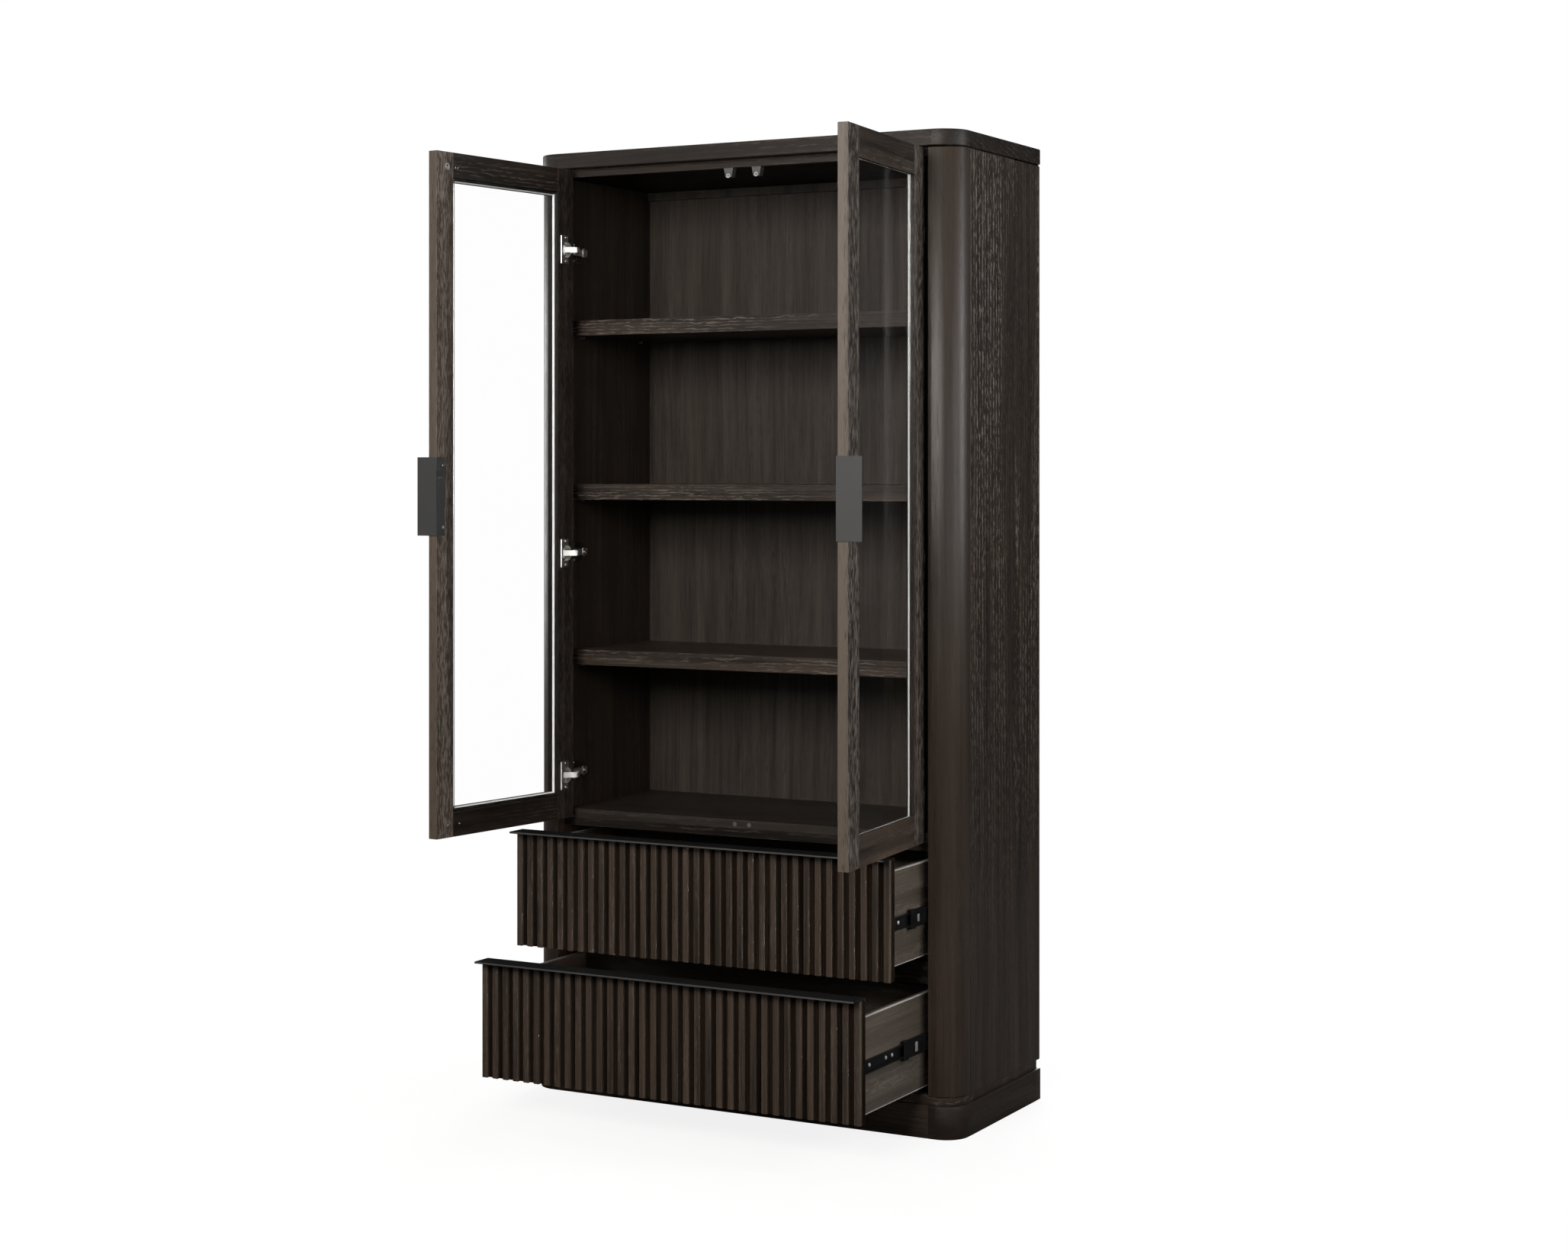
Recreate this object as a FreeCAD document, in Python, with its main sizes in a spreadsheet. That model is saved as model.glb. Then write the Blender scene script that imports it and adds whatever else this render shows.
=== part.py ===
import FreeCAD, Part
import math
import os
import re
import Sketcher

# A tall bookcase on a plinth: four open bays behind two framed glass doors, above two drawers with
# slatted fronts. X runs from left to right, Y from the front to the back, Z up; the origin is on
# the floor under the middle of the plinth. Everything is laid out with the doors and drawers
# closed, and each moving group is then set out as it stands at rest: doors open, drawers pulled.

# Driving dimensions in millimetres and degrees. "deep" figures are measured back from the front
# edge of the slab, heights are measured from the floor.
dimensions = (
    ("width", 1002, "over the top slab, side to side"),
    ("depth", 418, "over the top slab, front to back"),
    ("height", 2000, "floor to the top of the slab"),
    ("slab_thickness", 33, "top slab"),
    ("slab_corner", 58, "radius of the slab's front corners"),
    ("slab_ease", 1.5, "chamfer along the slab's arrises"),
    ("shadow_gap", 3, "height of the recess under the slab"),
    ("shadow_inset", 6, "how far the recess goes in at the sides and back"),
    ("body_width", 1000, "over the side panels"),
    ("body_front", 2, "deep figure of the corner posts' front"),
    ("body_back", 417, "deep figure of the side panels' rear edge"),
    ("post_width", 64, "corner post, side to side"),
    ("post_depth", 63, "corner post, front to back"),
    ("post_corner", 57, "radius of the corner post's outer edge"),
    ("post_rebate", 6, "step at the back of the post that takes the side lining"),
    ("seam", 1.5, "chamfer on each side of the joint between post and side panel"),
    ("board", 18, "thickness of sides, linings, floor and rails"),
    ("clear_width", 880, "between the side linings"),
    ("batten_height", 40, "battens between side panel and lining"),
    ("back_face", 388, "deep figure of the back panel's inner face"),
    ("back_thickness", 9, "back panel"),
    ("strip_width", 24, "upright strip in each rear corner"),
    ("strip_step", 1.5, "how far the strip lies behind the lining's face"),
    ("bead_height", 18, "bead across the top of the back panel"),
    ("bead_depth", 12, "the same bead, front to back"),
    ("rail_face", 27, "deep figure of the rails and stops behind the doors"),
    ("ceiling", 1950.5, "height of the top panel's underside"),
    ("floor_top", 600.5, "height of the cupboard floor"),
    ("lower_rail_height", 17.5, "rail under the cupboard floor"),
    ("middle_rail_low", 300, "height of the underside of the rail between the drawers"),
    ("middle_rail_height", 45, "the same rail, bottom to top"),
    ("base_inset", 5, "how far the base plate stands inside the body"),
    ("base_thickness", 19, "base plate between plinth and body"),
    ("plinth_height", 65, "plinth"),
    ("plinth_width", 1003, "over the plinth, side to side"),
    ("plinth_front", 1, "deep figure of the plinth's front"),
    ("plinth_corner", 50, "radius of the plinth's front corners"),
    ("plinth_block", 65.5, "corner piece of the plinth, both ways"),
    ("plinth_board", 22, "thickness of the plinth's boards"),
    ("shelf_thickness", 33, "shelves"),
    ("shelf_front", 60, "deep figure of the shelves' front edge"),
    ("shelf_play", 1, "gap at the shelf's ends and behind it"),
    ("lower_shelf", 938.5, "height of the shelf's top"),
    ("middle_shelf", 1294, "height of the shelf's top"),
    ("upper_shelf", 1646.5, "height of the shelf's top"),
    ("pin_radius", 2.5, "shelf pins and their holes"),
    ("pin_reach", 9, "how far a pin stands out, and how far it goes in"),
    ("pin_front", 97, "deep figure of the front pins"),
    ("pin_rear", 337, "deep figure of the rear pins"),
    ("door_bottom", 584.7, "height of the doors' lower edge"),
    ("door_top", 1964.5, "height of the doors' upper edge"),
    ("door_width", 429, "one door"),
    ("door_thickness", 21, "door frame"),
    ("door_face", 3, "deep figure of the closed doors' and drawers' outer face"),
    ("door_margin", 2.5, "gap between a door's hinge edge and its post"),
    ("stile_width", 59, "uprights of the door frame"),
    ("door_rail_height", 59, "cross pieces of the door frame"),
    ("rebate_width", 9, "rebate that takes the glass and its glazing strip"),
    ("rebate_depth", 12.5, "the same rebate, from the inner face"),
    ("glass_thickness", 4, "door glass"),
    ("glass_play", 1, "gap between the glass and the rebate's wall"),
    ("glazing_drop", 1.5, "how far the glazing strip stays below the door's inner face"),
    ("glazing_slope", 5, "chamfer of the glazing strip towards the glass"),
    ("hinge_x", 425, "hinge axis, from the middle of the bookcase"),
    ("hinge_y", 3, "deep figure of the hinge axis"),
    ("left_open", 96.5, "left door at rest, from closed"),
    ("right_open", 96.3, "right door at rest, from closed"),
    ("lower_hinge", 676, "height of the hinge's middle"),
    ("middle_hinge", 1148, "height of the hinge's middle"),
    ("upper_hinge", 1793, "height of the hinge's middle"),
    ("cup_setback", 23, "cup's centre, from the door's hinge edge"),
    ("cup_radius", 17.5, "hinge cup and its bore"),
    ("cup_depth", 11.5, "hinge cup, from the door's inner face"),
    ("cup_wall", 1, "sheet of the hinge cup"),
    ("flange_inner", 17, "cup flange, nearer edge from the door's hinge edge"),
    ("flange_outer", 41, "cup flange, farther edge from the door's hinge edge"),
    ("flange_height", 60, "cup flange"),
    ("flange_sheet", 1.2, "thickness of the cup flange"),
    ("arm_inner", 408, "inner end of the hinge arm's head, from the middle"),
    ("arm_outer", 434, "outer side of the hinge arm, from the middle"),
    ("arm_width", 10, "hinge arm along its length, side to side"),
    ("arm_height", 13.7, "hinge arm, bottom to top"),
    ("arm_head", 11, "hinge arm's head, front to back"),
    ("arm_back", 98, "deep figure of the hinge arm's rear end"),
    ("plate_back", 101, "deep figure of the mounting plate's rear end"),
    ("plate_height", 16, "mounting plate's middle"),
    ("wing_height", 43, "mounting plate over its wings"),
    ("plate_play", 2, "gap between the mounting plate and the corner post"),
    ("wing_front", 73, "deep figure of the wings' front edge"),
    ("wing_back", 98, "deep figure of the wings' rear edge"),
    ("wing_sheet", 2, "thickness of the wings"),
    ("handle_bottom", 1192.5, "height of the handle's lower end"),
    ("handle_length", 157.5, "handle"),
    ("handle_reach", 28, "how far the handle stands out in front of the door"),
    ("handle_sheet", 3, "handle plate over the door's free edge"),
    ("handle_flange", 22, "handle flange on the door's inner face"),
    ("flange_plate", 2, "thickness of that flange"),
    ("strike_at", 397.6, "upper strike ring, from the door's hinge edge"),
    ("strike_height", 1934.5, "height of the upper strike ring"),
    ("strike_radius", 7, "strike ring"),
    ("strike_bore", 4, "radius of the strike ring's hole"),
    ("strike_sheet", 1.5, "thickness of the strike ring"),
    ("buffer_at", 396, "lower buffer, from the door's hinge edge"),
    ("buffer_height", 609, "height of the lower buffer"),
    ("buffer_radius", 3.5, "lower buffer"),
    ("catch_x", 33, "upper catches, from the middle"),
    ("catch_top", 22, "width of a catch at the top rail"),
    ("catch_foot", 14, "width of a catch at its foot"),
    ("catch_drop", 19, "how far a catch hangs down"),
    ("catch_depth", 15, "catch, front to back"),
    ("magnet_radius", 4.5, "round magnets of the catches"),
    ("magnet_sheet", 1, "how far the magnets stand out"),
    ("stop_x", 17, "lower stops, from the middle"),
    ("stop_height", 591.5, "height of the lower stops"),
    ("drawer_width", 865, "drawer front"),
    ("front_height", 236, "drawer front without its pull"),
    ("lower_front", 86, "height of the lower drawer front's foot"),
    ("upper_front", 335, "height of the upper drawer front's foot"),
    ("front_board", 14, "thickness of the drawer front behind its slats"),
    ("slat_proud", 8, "how far the slats stand out"),
    ("slat_width", 13, "one slat"),
    ("slat_pitch", 25, "from one slat to the next"),
    ("slat_count", 35, "slats on one drawer front"),
    ("slat_ease", 1, "chamfer on the slats' front arrises"),
    ("pull_sheet", 4, "thickness of the pull along the top of a drawer front"),
    ("pull_reach", 26, "how far the pull stands out in front of the slats"),
    ("box_height", 187, "drawer box"),
    ("lower_box", 99, "height of the lower drawer box's foot"),
    ("upper_box", 360, "height of the upper drawer box's foot"),
    ("box_length", 350, "drawer box"),
    ("box_board", 12, "sides and ends of the drawer box"),
    ("box_bottom", 6, "drawer bottom"),
    ("bottom_raise", 12, "drawer bottom above the foot of the box"),
    ("groove", 6, "how far the drawer bottom goes into the sides"),
    ("lower_out", 291, "lower drawer at rest, from closed"),
    ("upper_out", 165, "upper drawer at rest, from closed"),
    ("lower_middle_out", 128, "its middle slide members at rest, from closed"),
    ("upper_middle_out", 97, "its middle slide members at rest, from closed"),
    ("slide_thickness", 12.7, "ball-bearing slide, side to side"),
    ("slide_length", 350, "ball-bearing slide"),
    ("slide_start", 28, "deep figure of the slide's front end"),
    ("slide_sheet", 1.2, "sheet of the slide members"),
    ("slide_bend", 2, "outside radius of the bends in the slide members"),
    ("cap_length", 20, "end cap of a middle slide member"),
    ("cap_over", 2, "how far the end cap stands above and below its member"),
    ("cap_proud", 0.4, "how far the end cap stands out beside its member"),
    ("cabinet_member", 45, "slide member on the cabinet, bottom to top"),
    ("middle_member", 34, "middle slide member, bottom to top"),
    ("drawer_member", 25, "slide member on the drawer, bottom to top"),
    ("member_lap", 7.9, "depth of each slide member's channel"),
    ("lower_slide", 191.6, "height of the lower slides' middle"),
    ("upper_slide", 443.5, "height of the upper slides' middle"),
)

doc = FreeCAD.newDocument("bookcase")
sheet = doc.addObject("Spreadsheet::Sheet", "dims")
for row, (alias, value, meaning) in enumerate(dimensions, start=1):
    sheet.set("A%d" % row, alias)
    sheet.set("B%d" % row, str(value))
    sheet.set("C%d" % row, meaning)
    sheet.setAlias("B%d" % row, alias)
doc.recompute()

aliases = {alias for alias, value, meaning in dimensions}
subparts = {}
closed_places = {}


# --- expressions -------------------------------------------------------------------------------

def cells(text):
    # the expression with every alias bound to its cell
    return re.sub(r"[a-z_]+", lambda word: "dims." + word[0] if word[0] in aliases else word[0], text)


def deep(distance):
    # a place measured back from the slab's front edge
    return "(%s - depth / 2)" % distance


def span(side, near, far):
    # a stretch between two distances from the middle, on the right (1) or the left (-1)
    if side > 0:
        return near, far
    return "-(%s)" % far, "-(%s)" % near


def centred(size):
    return "-%s / 2" % size, "%s / 2" % size


def place_text(x="0", y="0", z="0", axis="0; 0; 1", angle="0"):
    return "placement(vector(%s; %s; %s); rotation(vector(%s); %s))" % (x, y, z, axis, angle)


def door_pose(side, angle):
    # turned about the hinge axis: the left door opens clockwise, the right one the other way
    x = "(%d * hinge_x)" % side
    turned = place_text(x, deep("hinge_y"), "0", "0; 0; 1", "%d * %s" % (side, angle))
    return turned + " * " + place_text("-" + x, "-" + deep("hinge_y"))


body_top = "(height - slab_thickness - shadow_gap)"
body_foot = "(plinth_height + base_thickness)"
opening = "(body_width / 2 - post_width)"
hinge_edge = "(%s - door_margin)" % opening
free_edge = "(%s - door_width)" % hinge_edge
door_inside = "(door_face + door_thickness)"
front_back = "(door_face + slat_proud + front_board)"
lining_front = "(body_front + post_depth - post_rebate)"
box_outer = "(%s - slide_thickness)" % opening
pin_heights = ["%s - shelf_thickness - pin_radius" % top
               for top in ("lower_shelf", "middle_shelf", "upper_shelf")]

poses = {
    "carcass": None,
    "left_door": door_pose(-1, "left_open"),
    "right_door": door_pose(1, "right_open"),
    "upper_drawer": place_text(y="-upper_out"),
    "lower_drawer": place_text(y="-lower_out"),
    "upper_middle": place_text(y="-upper_middle_out"),
    "lower_middle": place_text(y="-lower_middle_out"),
}


# --- building blocks ---------------------------------------------------------------------------

def put(item, text):
    closed_places[item.Name] = text
    item.setExpression("Placement", cells(text))
    return item


def box(name, x, y, z):
    # a board between two planes along each axis
    item = doc.addObject("Part::Box", name)
    for size, (low, high) in zip(("Length", "Width", "Height"), (x, y, z)):
        item.setExpression(size, cells("(%s) - (%s)" % (high, low)))
    return put(item, place_text(x[0], y[0], z[0]))


def rod(name, radius, length, x, y, z, axis="0; 0; 1", angle="0"):
    # a round bar from the given point, upright unless turned
    item = doc.addObject("Part::Cylinder", name)
    item.setExpression("Radius", cells(radius))
    item.setExpression("Height", cells(length))
    return put(item, place_text(x, y, z, axis, angle))


def rod_back(name, radius, length, x, y, z):
    return rod(name, radius, length, x, y, z, "1; 0; 0", "-90")


def rod_right(name, radius, length, x, y, z):
    return rod(name, radius, length, x, y, z, "0; 1; 0", "90")


def joined(name, pieces):
    item = doc.addObject("Part::MultiFuse", name)
    item.Shapes = pieces
    return item


def cut(name, base, tool):
    item = doc.addObject("Part::Cut", name)
    item.Base = base
    item.Tool = tool
    return item


def group(name, pieces):
    # separate solids that share one sub-part
    item = doc.addObject("Part::Compound", name)
    item.Links = pieces
    return item


def settle(label, item, moving="carcass"):
    # names a sub-part and sets it out with the group that it moves with
    item.Label = label
    pose = poses[moving]
    if pose:
        closed = closed_places.get(item.Name)
        item.setExpression("Placement", cells(pose + " * " + closed if closed else pose))
    subparts[label] = item
    return item


def sketch(owner, plane, lift):
    # a sketch on an origin plane of its body, moved along that plane's normal
    item = owner.newObject("Sketcher::SketchObject", owner.Name + "_sketch")
    support = [feature for feature in owner.Origin.OriginFeatures if feature.Role == plane][0]
    item.AttachmentSupport = [(support, "")]
    item.MapMode = "FlatFace"
    item.setExpression("AttachmentOffset.Base.z", cells(lift))
    return item


def pin_down(item, index, corner, x, y):
    # fixes a point of a sketch by its two coordinates
    for kind, text in (("DistanceX", x), ("DistanceY", y)):
        held = item.addConstraint(Sketcher.Constraint(kind, -1, 1, index, corner, 1.0))
        item.setExpression("Constraints[%d]" % held, cells(text))


def outline(item, corners):
    # a closed outline through the corners; the constraints move it from a rough ring to its place
    start = item.GeometryCount
    count = len(corners)
    turn = 2 * math.pi / count
    ring = [FreeCAD.Vector(math.cos(turn * n), math.sin(turn * n), 0) for n in range(count)]
    for n in range(count):
        item.addGeometry(Part.LineSegment(ring[n], ring[(n + 1) % count]), False)
    for n, (x, y) in enumerate(corners):
        before = start + (n - 1) % count
        item.addConstraint(Sketcher.Constraint("Coincident", before, 2, start + n, 1))
        pin_down(item, start + n, 1, x, y)


def circle(item, x, y, radius):
    index = item.addGeometry(Part.Circle(FreeCAD.Vector(0, 0, 0), FreeCAD.Vector(0, 0, 1), 1), False)
    pin_down(item, index, 3, x, y)
    held = item.addConstraint(Sketcher.Constraint("Radius", index, 1.0))
    item.setExpression("Constraints[%d]" % held, cells(radius))


def pad(owner, profile, length, reverse=False):
    item = owner.newObject("PartDesign::Pad", owner.Name + "_pad")
    item.Profile = profile
    item.Reversed = reverse
    item.setExpression("Length", cells(length))
    return item


def pocket(owner, profile, length, reverse=False):
    item = owner.newObject("PartDesign::Pocket", owner.Name + "_pocket")
    item.Profile = profile
    item.Reversed = reverse
    item.setExpression("Length", cells(length))
    return item


def repeat(owner, feature, axis, step, count):
    # a row of copies of a feature, one step apart
    item = owner.newObject("PartDesign::LinearPattern", owner.Name + "_row")
    item.Originals = [feature]
    direction = [part for part in owner.Origin.OriginFeatures if part.Role == axis][0]
    item.Direction = (direction, [""])
    item.Mode = "Spacing"
    item.setExpression("Offset", cells(step))
    item.setExpression("Occurrences", cells(count))
    owner.Tip = item
    return item


def soften(owner, kind, base, edges, size):
    # a fillet (Radius) or chamfer (Size) on the edges of an earlier feature
    item = owner.newObject("PartDesign::" + kind, owner.Name + "_" + kind.lower())
    item.Base = (base, edges)
    item.setExpression("Radius" if kind == "Fillet" else "Size", cells(size))
    return item


def edges_along(feature, axis, rank, count):
    # names of the edges parallel to the axis that come first by rank(point)
    doc.recompute()
    found = []
    for number, edge in enumerate(feature.Shape.Edges, start=1):
        first, last = edge.Vertexes[0].Point, edge.Vertexes[-1].Point
        if (last - first).cross(axis).Length < 1e-6:
            found.append((rank(first), "Edge%d" % number))
    return [name for place, name in sorted(found)[:count]]


def upright_edges(feature, rank, count=1):
    return edges_along(feature, FreeCAD.Vector(0, 0, 1), lambda point: rank(point.x, point.y), count)


def level_edges(feature):
    # names of all edges that lie in the top or bottom face
    doc.recompute()
    return ["Edge%d" % number for number, edge in enumerate(feature.Shape.Edges, start=1)
            if edge.BoundBox.ZLength < 1e-6]


def rim_edges(feature):
    # names of the edges round the hole in the rearmost face
    doc.recompute()
    rear = max(feature.Shape.Faces, key=lambda face: face.CenterOfMass.y)
    hole = [wire for wire in rear.Wires if not wire.isSame(rear.OuterWire)][0]
    return ["Edge%d" % number for number, edge in enumerate(feature.Shape.Edges, start=1)
            if any(edge.isSame(other) for other in hole.Edges)]


# --- top and base ------------------------------------------------------------------------------

def rounded_board(name, half_width, front, back, foot, thickness, corner):
    # a board with two round corners at the front
    owner = doc.addObject("PartDesign::Body", name)
    profile = sketch(owner, "XY_Plane", foot)
    outline(profile, [("-" + half_width, front), (half_width, front),
                      (half_width, back), ("-" + half_width, back)])
    plain = pad(owner, profile, thickness)
    corners = upright_edges(plain, lambda x, y: y, 2)
    return owner, soften(owner, "Fillet", plain, corners, corner)


def top_slab():
    owner, rounded = rounded_board("top_slab", "width / 2", deep("0"), deep("depth"),
                                   "height - slab_thickness", "slab_thickness", "slab_corner")
    soften(owner, "Chamfer", rounded, level_edges(rounded), "slab_ease")
    settle("top_slab", owner)


def slab_spacer():
    # it stops short of the doors, so that they clear it
    inset = "(body_width / 2 - shadow_inset)"
    owner, rounded = rounded_board("slab_spacer", inset, deep("rail_face"),
                                   deep("body_back - shadow_inset"), body_top, "shadow_gap",
                                   "post_corner + body_front - rail_face")
    settle("slab_spacer", owner)


def base_plate():
    inset = "(body_width / 2 - base_inset)"
    owner, rounded = rounded_board("base_plate", inset, deep("body_front + base_inset"),
                                   deep("body_back - base_inset"), "plinth_height",
                                   "base_thickness", "post_corner - base_inset")
    settle("base_plate", owner)


def plinth_corner(side, name):
    # a bent corner piece: an angle with a round outside and a round inside
    owner = doc.addObject("PartDesign::Body", name)
    profile = sketch(owner, "XY_Plane", "0")
    outer = "%d * plinth_width / 2" % side
    inner = "%d * (plinth_width / 2 - plinth_block)" % side
    thin = "%d * (plinth_width / 2 - plinth_board)" % side
    front = deep("plinth_front")
    rear = deep("plinth_front + plinth_block")
    behind = deep("plinth_front + plinth_board")
    outline(profile, [(inner, front), (outer, front), (outer, rear),
                      (thin, rear), (thin, behind), (inner, behind)])
    angle = pad(owner, profile, "plinth_height")
    outside = upright_edges(angle, lambda x, y: y - side * x)
    rounded = soften(owner, "Fillet", angle, outside, "plinth_corner")
    inside = upright_edges(rounded, nearest_inner_corner(side))
    soften(owner, "Fillet", rounded, inside, "plinth_corner - plinth_board")
    return owner


def nearest_inner_corner(side):
    # ranks upright edges by their distance from the inside of the plinth's angle
    x = side * (sheet.get("plinth_width") / 2 - sheet.get("plinth_board"))
    y = sheet.get("plinth_front") + sheet.get("plinth_board") - sheet.get("depth") / 2
    return lambda ex, ey: abs(ex - x) + abs(ey - y)


def plinth():
    block_front = deep("plinth_front")
    straight = centred("(plinth_width - 2 * plinth_block)")
    settle("plinth_front_board", box("plinth_front_board", straight,
                                     (block_front, deep("plinth_front + plinth_board")),
                                     ("0", "plinth_height")))
    settle("plinth_back_board", box("plinth_back_board", centred("plinth_width"),
                                    (deep("depth - plinth_board"), deep("depth")),
                                    ("0", "plinth_height")))
    sides = []
    for side in (-1, 1):
        x = span(side, "plinth_width / 2 - plinth_board", "plinth_width / 2")
        y = (deep("plinth_front + plinth_block"), deep("depth - plinth_board"))
        sides.append(box("plinth_side", x, y, ("0", "plinth_height")))
    settle("plinth_side_boards", group("plinth_side_boards", sides))
    settle("plinth_brace", box("plinth_brace", centred("plinth_board"),
                               (deep("plinth_front + plinth_board"), deep("depth - plinth_board")),
                               ("0", "plinth_height")))
    corners = [plinth_corner(side, "plinth_corner") for side in (-1, 1)]
    settle("plinth_corners", group("plinth_corners", corners))


# --- carcass -----------------------------------------------------------------------------------

def corner_post(side, label):
    # round outside, with a rebate at the back for the lining and a chamfer at the seam
    owner = doc.addObject("PartDesign::Body", label)
    profile = sketch(owner, "XY_Plane", body_foot)
    inner = "%d * %s" % (side, opening)
    outer = "%d * body_width / 2" % side
    lined = "%d * (clear_width / 2 + board)" % side
    front = deep("body_front")
    rear = deep("body_front + post_depth")
    step = deep(lining_front)
    outline(profile, [(inner, front), (outer, front), (outer, rear),
                      (lined, rear), (lined, step), (inner, step)])
    plain = pad(owner, profile, "%s - %s" % (body_top, body_foot))
    outside = upright_edges(plain, lambda x, y: y - side * x)
    rounded = soften(owner, "Fillet", plain, outside, "post_corner")
    seam = upright_edges(rounded, lambda x, y: -y - side * x)
    soften(owner, "Chamfer", rounded, seam, "seam")
    settle(label, owner)


def side_panel(side, label):
    owner = doc.addObject("PartDesign::Body", label)
    profile = sketch(owner, "XY_Plane", body_foot)
    inner = "%d * (body_width / 2 - board)" % side
    outer = "%d * body_width / 2" % side
    front = deep("body_front + post_depth")
    back = deep("body_back")
    outline(profile, [(inner, front), (outer, front), (outer, back), (inner, back)])
    plain = pad(owner, profile, "%s - %s" % (body_top, body_foot))
    seam = upright_edges(plain, lambda x, y: y - side * x)
    soften(owner, "Chamfer", plain, seam, "seam")
    settle(label, owner)


def side_lining(side, label):
    # the board that carries hinges, shelf pins and slides, bored for the pins
    owner = doc.addObject("PartDesign::Body", label)
    profile = sketch(owner, "YZ_Plane", "%d * clear_width / 2" % side)
    rear = "back_face - strip_width"
    outline(profile, [(deep(lining_front), body_foot), (deep(rear), body_foot),
                      (deep(rear), body_top), (deep(lining_front), body_top)])
    pad(owner, profile, "board", side < 0)
    holes = sketch(owner, "YZ_Plane", "%d * clear_width / 2" % side)
    for height in pin_heights:
        for column in ("pin_front", "pin_rear"):
            circle(holes, deep(column), height, "pin_radius")
    pocket(owner, holes, "pin_reach", side > 0)
    settle(label, owner)


def side_battens():
    pieces = []
    for side in (-1, 1):
        x = span(side, "clear_width / 2 + board", "body_width / 2 - board")
        y = (deep("body_front + post_depth"), deep("back_face"))
        feet = (body_foot, "middle_rail_low", "lower_shelf - batten_height",
                "middle_shelf - batten_height", "upper_shelf - batten_height",
                "%s - batten_height" % body_top)
        for foot in feet:
            pieces.append(box("batten", x, y, (foot, "%s + batten_height" % foot)))
    settle("side_battens", group("side_battens", pieces))


def back():
    half = "(body_width / 2 - board)"
    settle("back_panel", box("back_panel", ("-" + half, half),
                             (deep("back_face"), deep("back_face + back_thickness")),
                             (body_foot, body_top)))
    pieces = []
    for side in (-1, 1):
        x = span(side, "clear_width / 2 + strip_step", "clear_width / 2 + board")
        y = (deep("back_face - strip_width"), deep("back_face"))
        pieces.append(box("back_strip", x, y, (body_foot, body_top)))
    pieces.append(box("back_bead", centred("clear_width"),
                      (deep("back_face - bead_depth"), deep("back_face")),
                      ("ceiling - bead_height", "ceiling")))
    settle("back_trim", group("back_trim", pieces))


def top_and_floor():
    rail = (deep("rail_face"), deep("rail_face + board"))
    between_posts = ("-" + opening, opening)
    settle("top_rail", box("top_rail", between_posts, rail, ("ceiling", body_top)))
    notch = box("top_front", between_posts, (rail[1], deep(lining_front)), ("ceiling", body_top))
    panel = box("top_rear", centred("clear_width"), (deep(lining_front), deep("back_face")),
                ("ceiling", body_top))
    settle("top_panel", joined("top_panel", [notch, panel]))
    thick = ("floor_top - board", "floor_top")
    notch = box("floor_front", between_posts, (rail[0], deep(lining_front)), thick)
    panel = box("floor_rear", centred("clear_width"), (deep(lining_front), deep("back_face")), thick)
    settle("floor_panel", joined("floor_panel", [notch, panel]))
    under = "floor_top - board"
    low = box("lower_rail", between_posts, rail, ("%s - lower_rail_height" % under, under))
    mid = box("middle_rail", between_posts, rail,
              ("middle_rail_low", "middle_rail_low + middle_rail_height"))
    settle("drawer_rails", group("drawer_rails", [low, mid]))


def shelf(top):
    half = "(clear_width / 2 - shelf_play)"
    label = top + "_board"
    settle(label, box(label, ("-" + half, half),
                      (deep("shelf_front"), deep("back_face - shelf_play")),
                      ("%s - shelf_thickness" % top, top)))


def shelf_pins():
    pins = []
    for height in pin_heights:
        for column in ("pin_front", "pin_rear"):
            for side in (-1, 1):
                start = span(side, "clear_width / 2 - pin_reach", "clear_width / 2 + pin_reach")[0]
                pins.append(rod_right("shelf_pin", "pin_radius", "2 * pin_reach",
                                      start, deep(column), height))
    settle("shelf_pins", group("shelf_pins", pins))


# --- fittings on the carcass -------------------------------------------------------------------

def hinge_plate(side, height):
    # the plate on the lining: a raised middle that carries the arm, and two thin wings
    raised = span(side, "arm_outer", "clear_width / 2")
    thin = span(side, "clear_width / 2 - wing_sheet", "clear_width / 2")
    middle = (deep("%s + plate_play" % lining_front), deep("plate_back"))
    body = box("plate_body", raised, middle,
               ("%s - plate_height / 2" % height, "%s + plate_height / 2" % height))
    wings = box("plate_wings", thin, (deep("wing_front"), deep("wing_back")),
                ("%s - wing_height / 2" % height, "%s + wing_height / 2" % height))
    return joined("hinge_plate", [body, wings])


def hinge_arm(side, height):
    # the arm lies along the plate and turns inwards at its head
    owner = doc.addObject("PartDesign::Body", "hinge_arm")
    profile = sketch(owner, "XY_Plane", "%s - arm_height / 2" % height)
    head = "%d * arm_inner" % side
    outer = "%d * arm_outer" % side
    inner = "%d * (arm_outer - arm_width)" % side
    front = deep("rail_face")
    behind_head = deep("rail_face + arm_head")
    outline(profile, [(head, front), (outer, front), (outer, deep("arm_back")),
                      (inner, deep("arm_back")), (inner, behind_head), (head, behind_head)])
    bent = pad(owner, profile, "arm_height")
    nose = upright_edges(bent, lambda x, y: y - side * x)
    soften(owner, "Fillet", bent, nose, "arm_width / 2")
    return owner


def carcass_hinges():
    plates = []
    arms = []
    for side in (-1, 1):
        for height in ("lower_hinge", "middle_hinge", "upper_hinge"):
            plates.append(hinge_plate(side, height))
            arms.append(hinge_arm(side, height))
    settle("hinge_plates", group("hinge_plates", plates))
    settle("hinge_arms", group("hinge_arms", arms))


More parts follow.
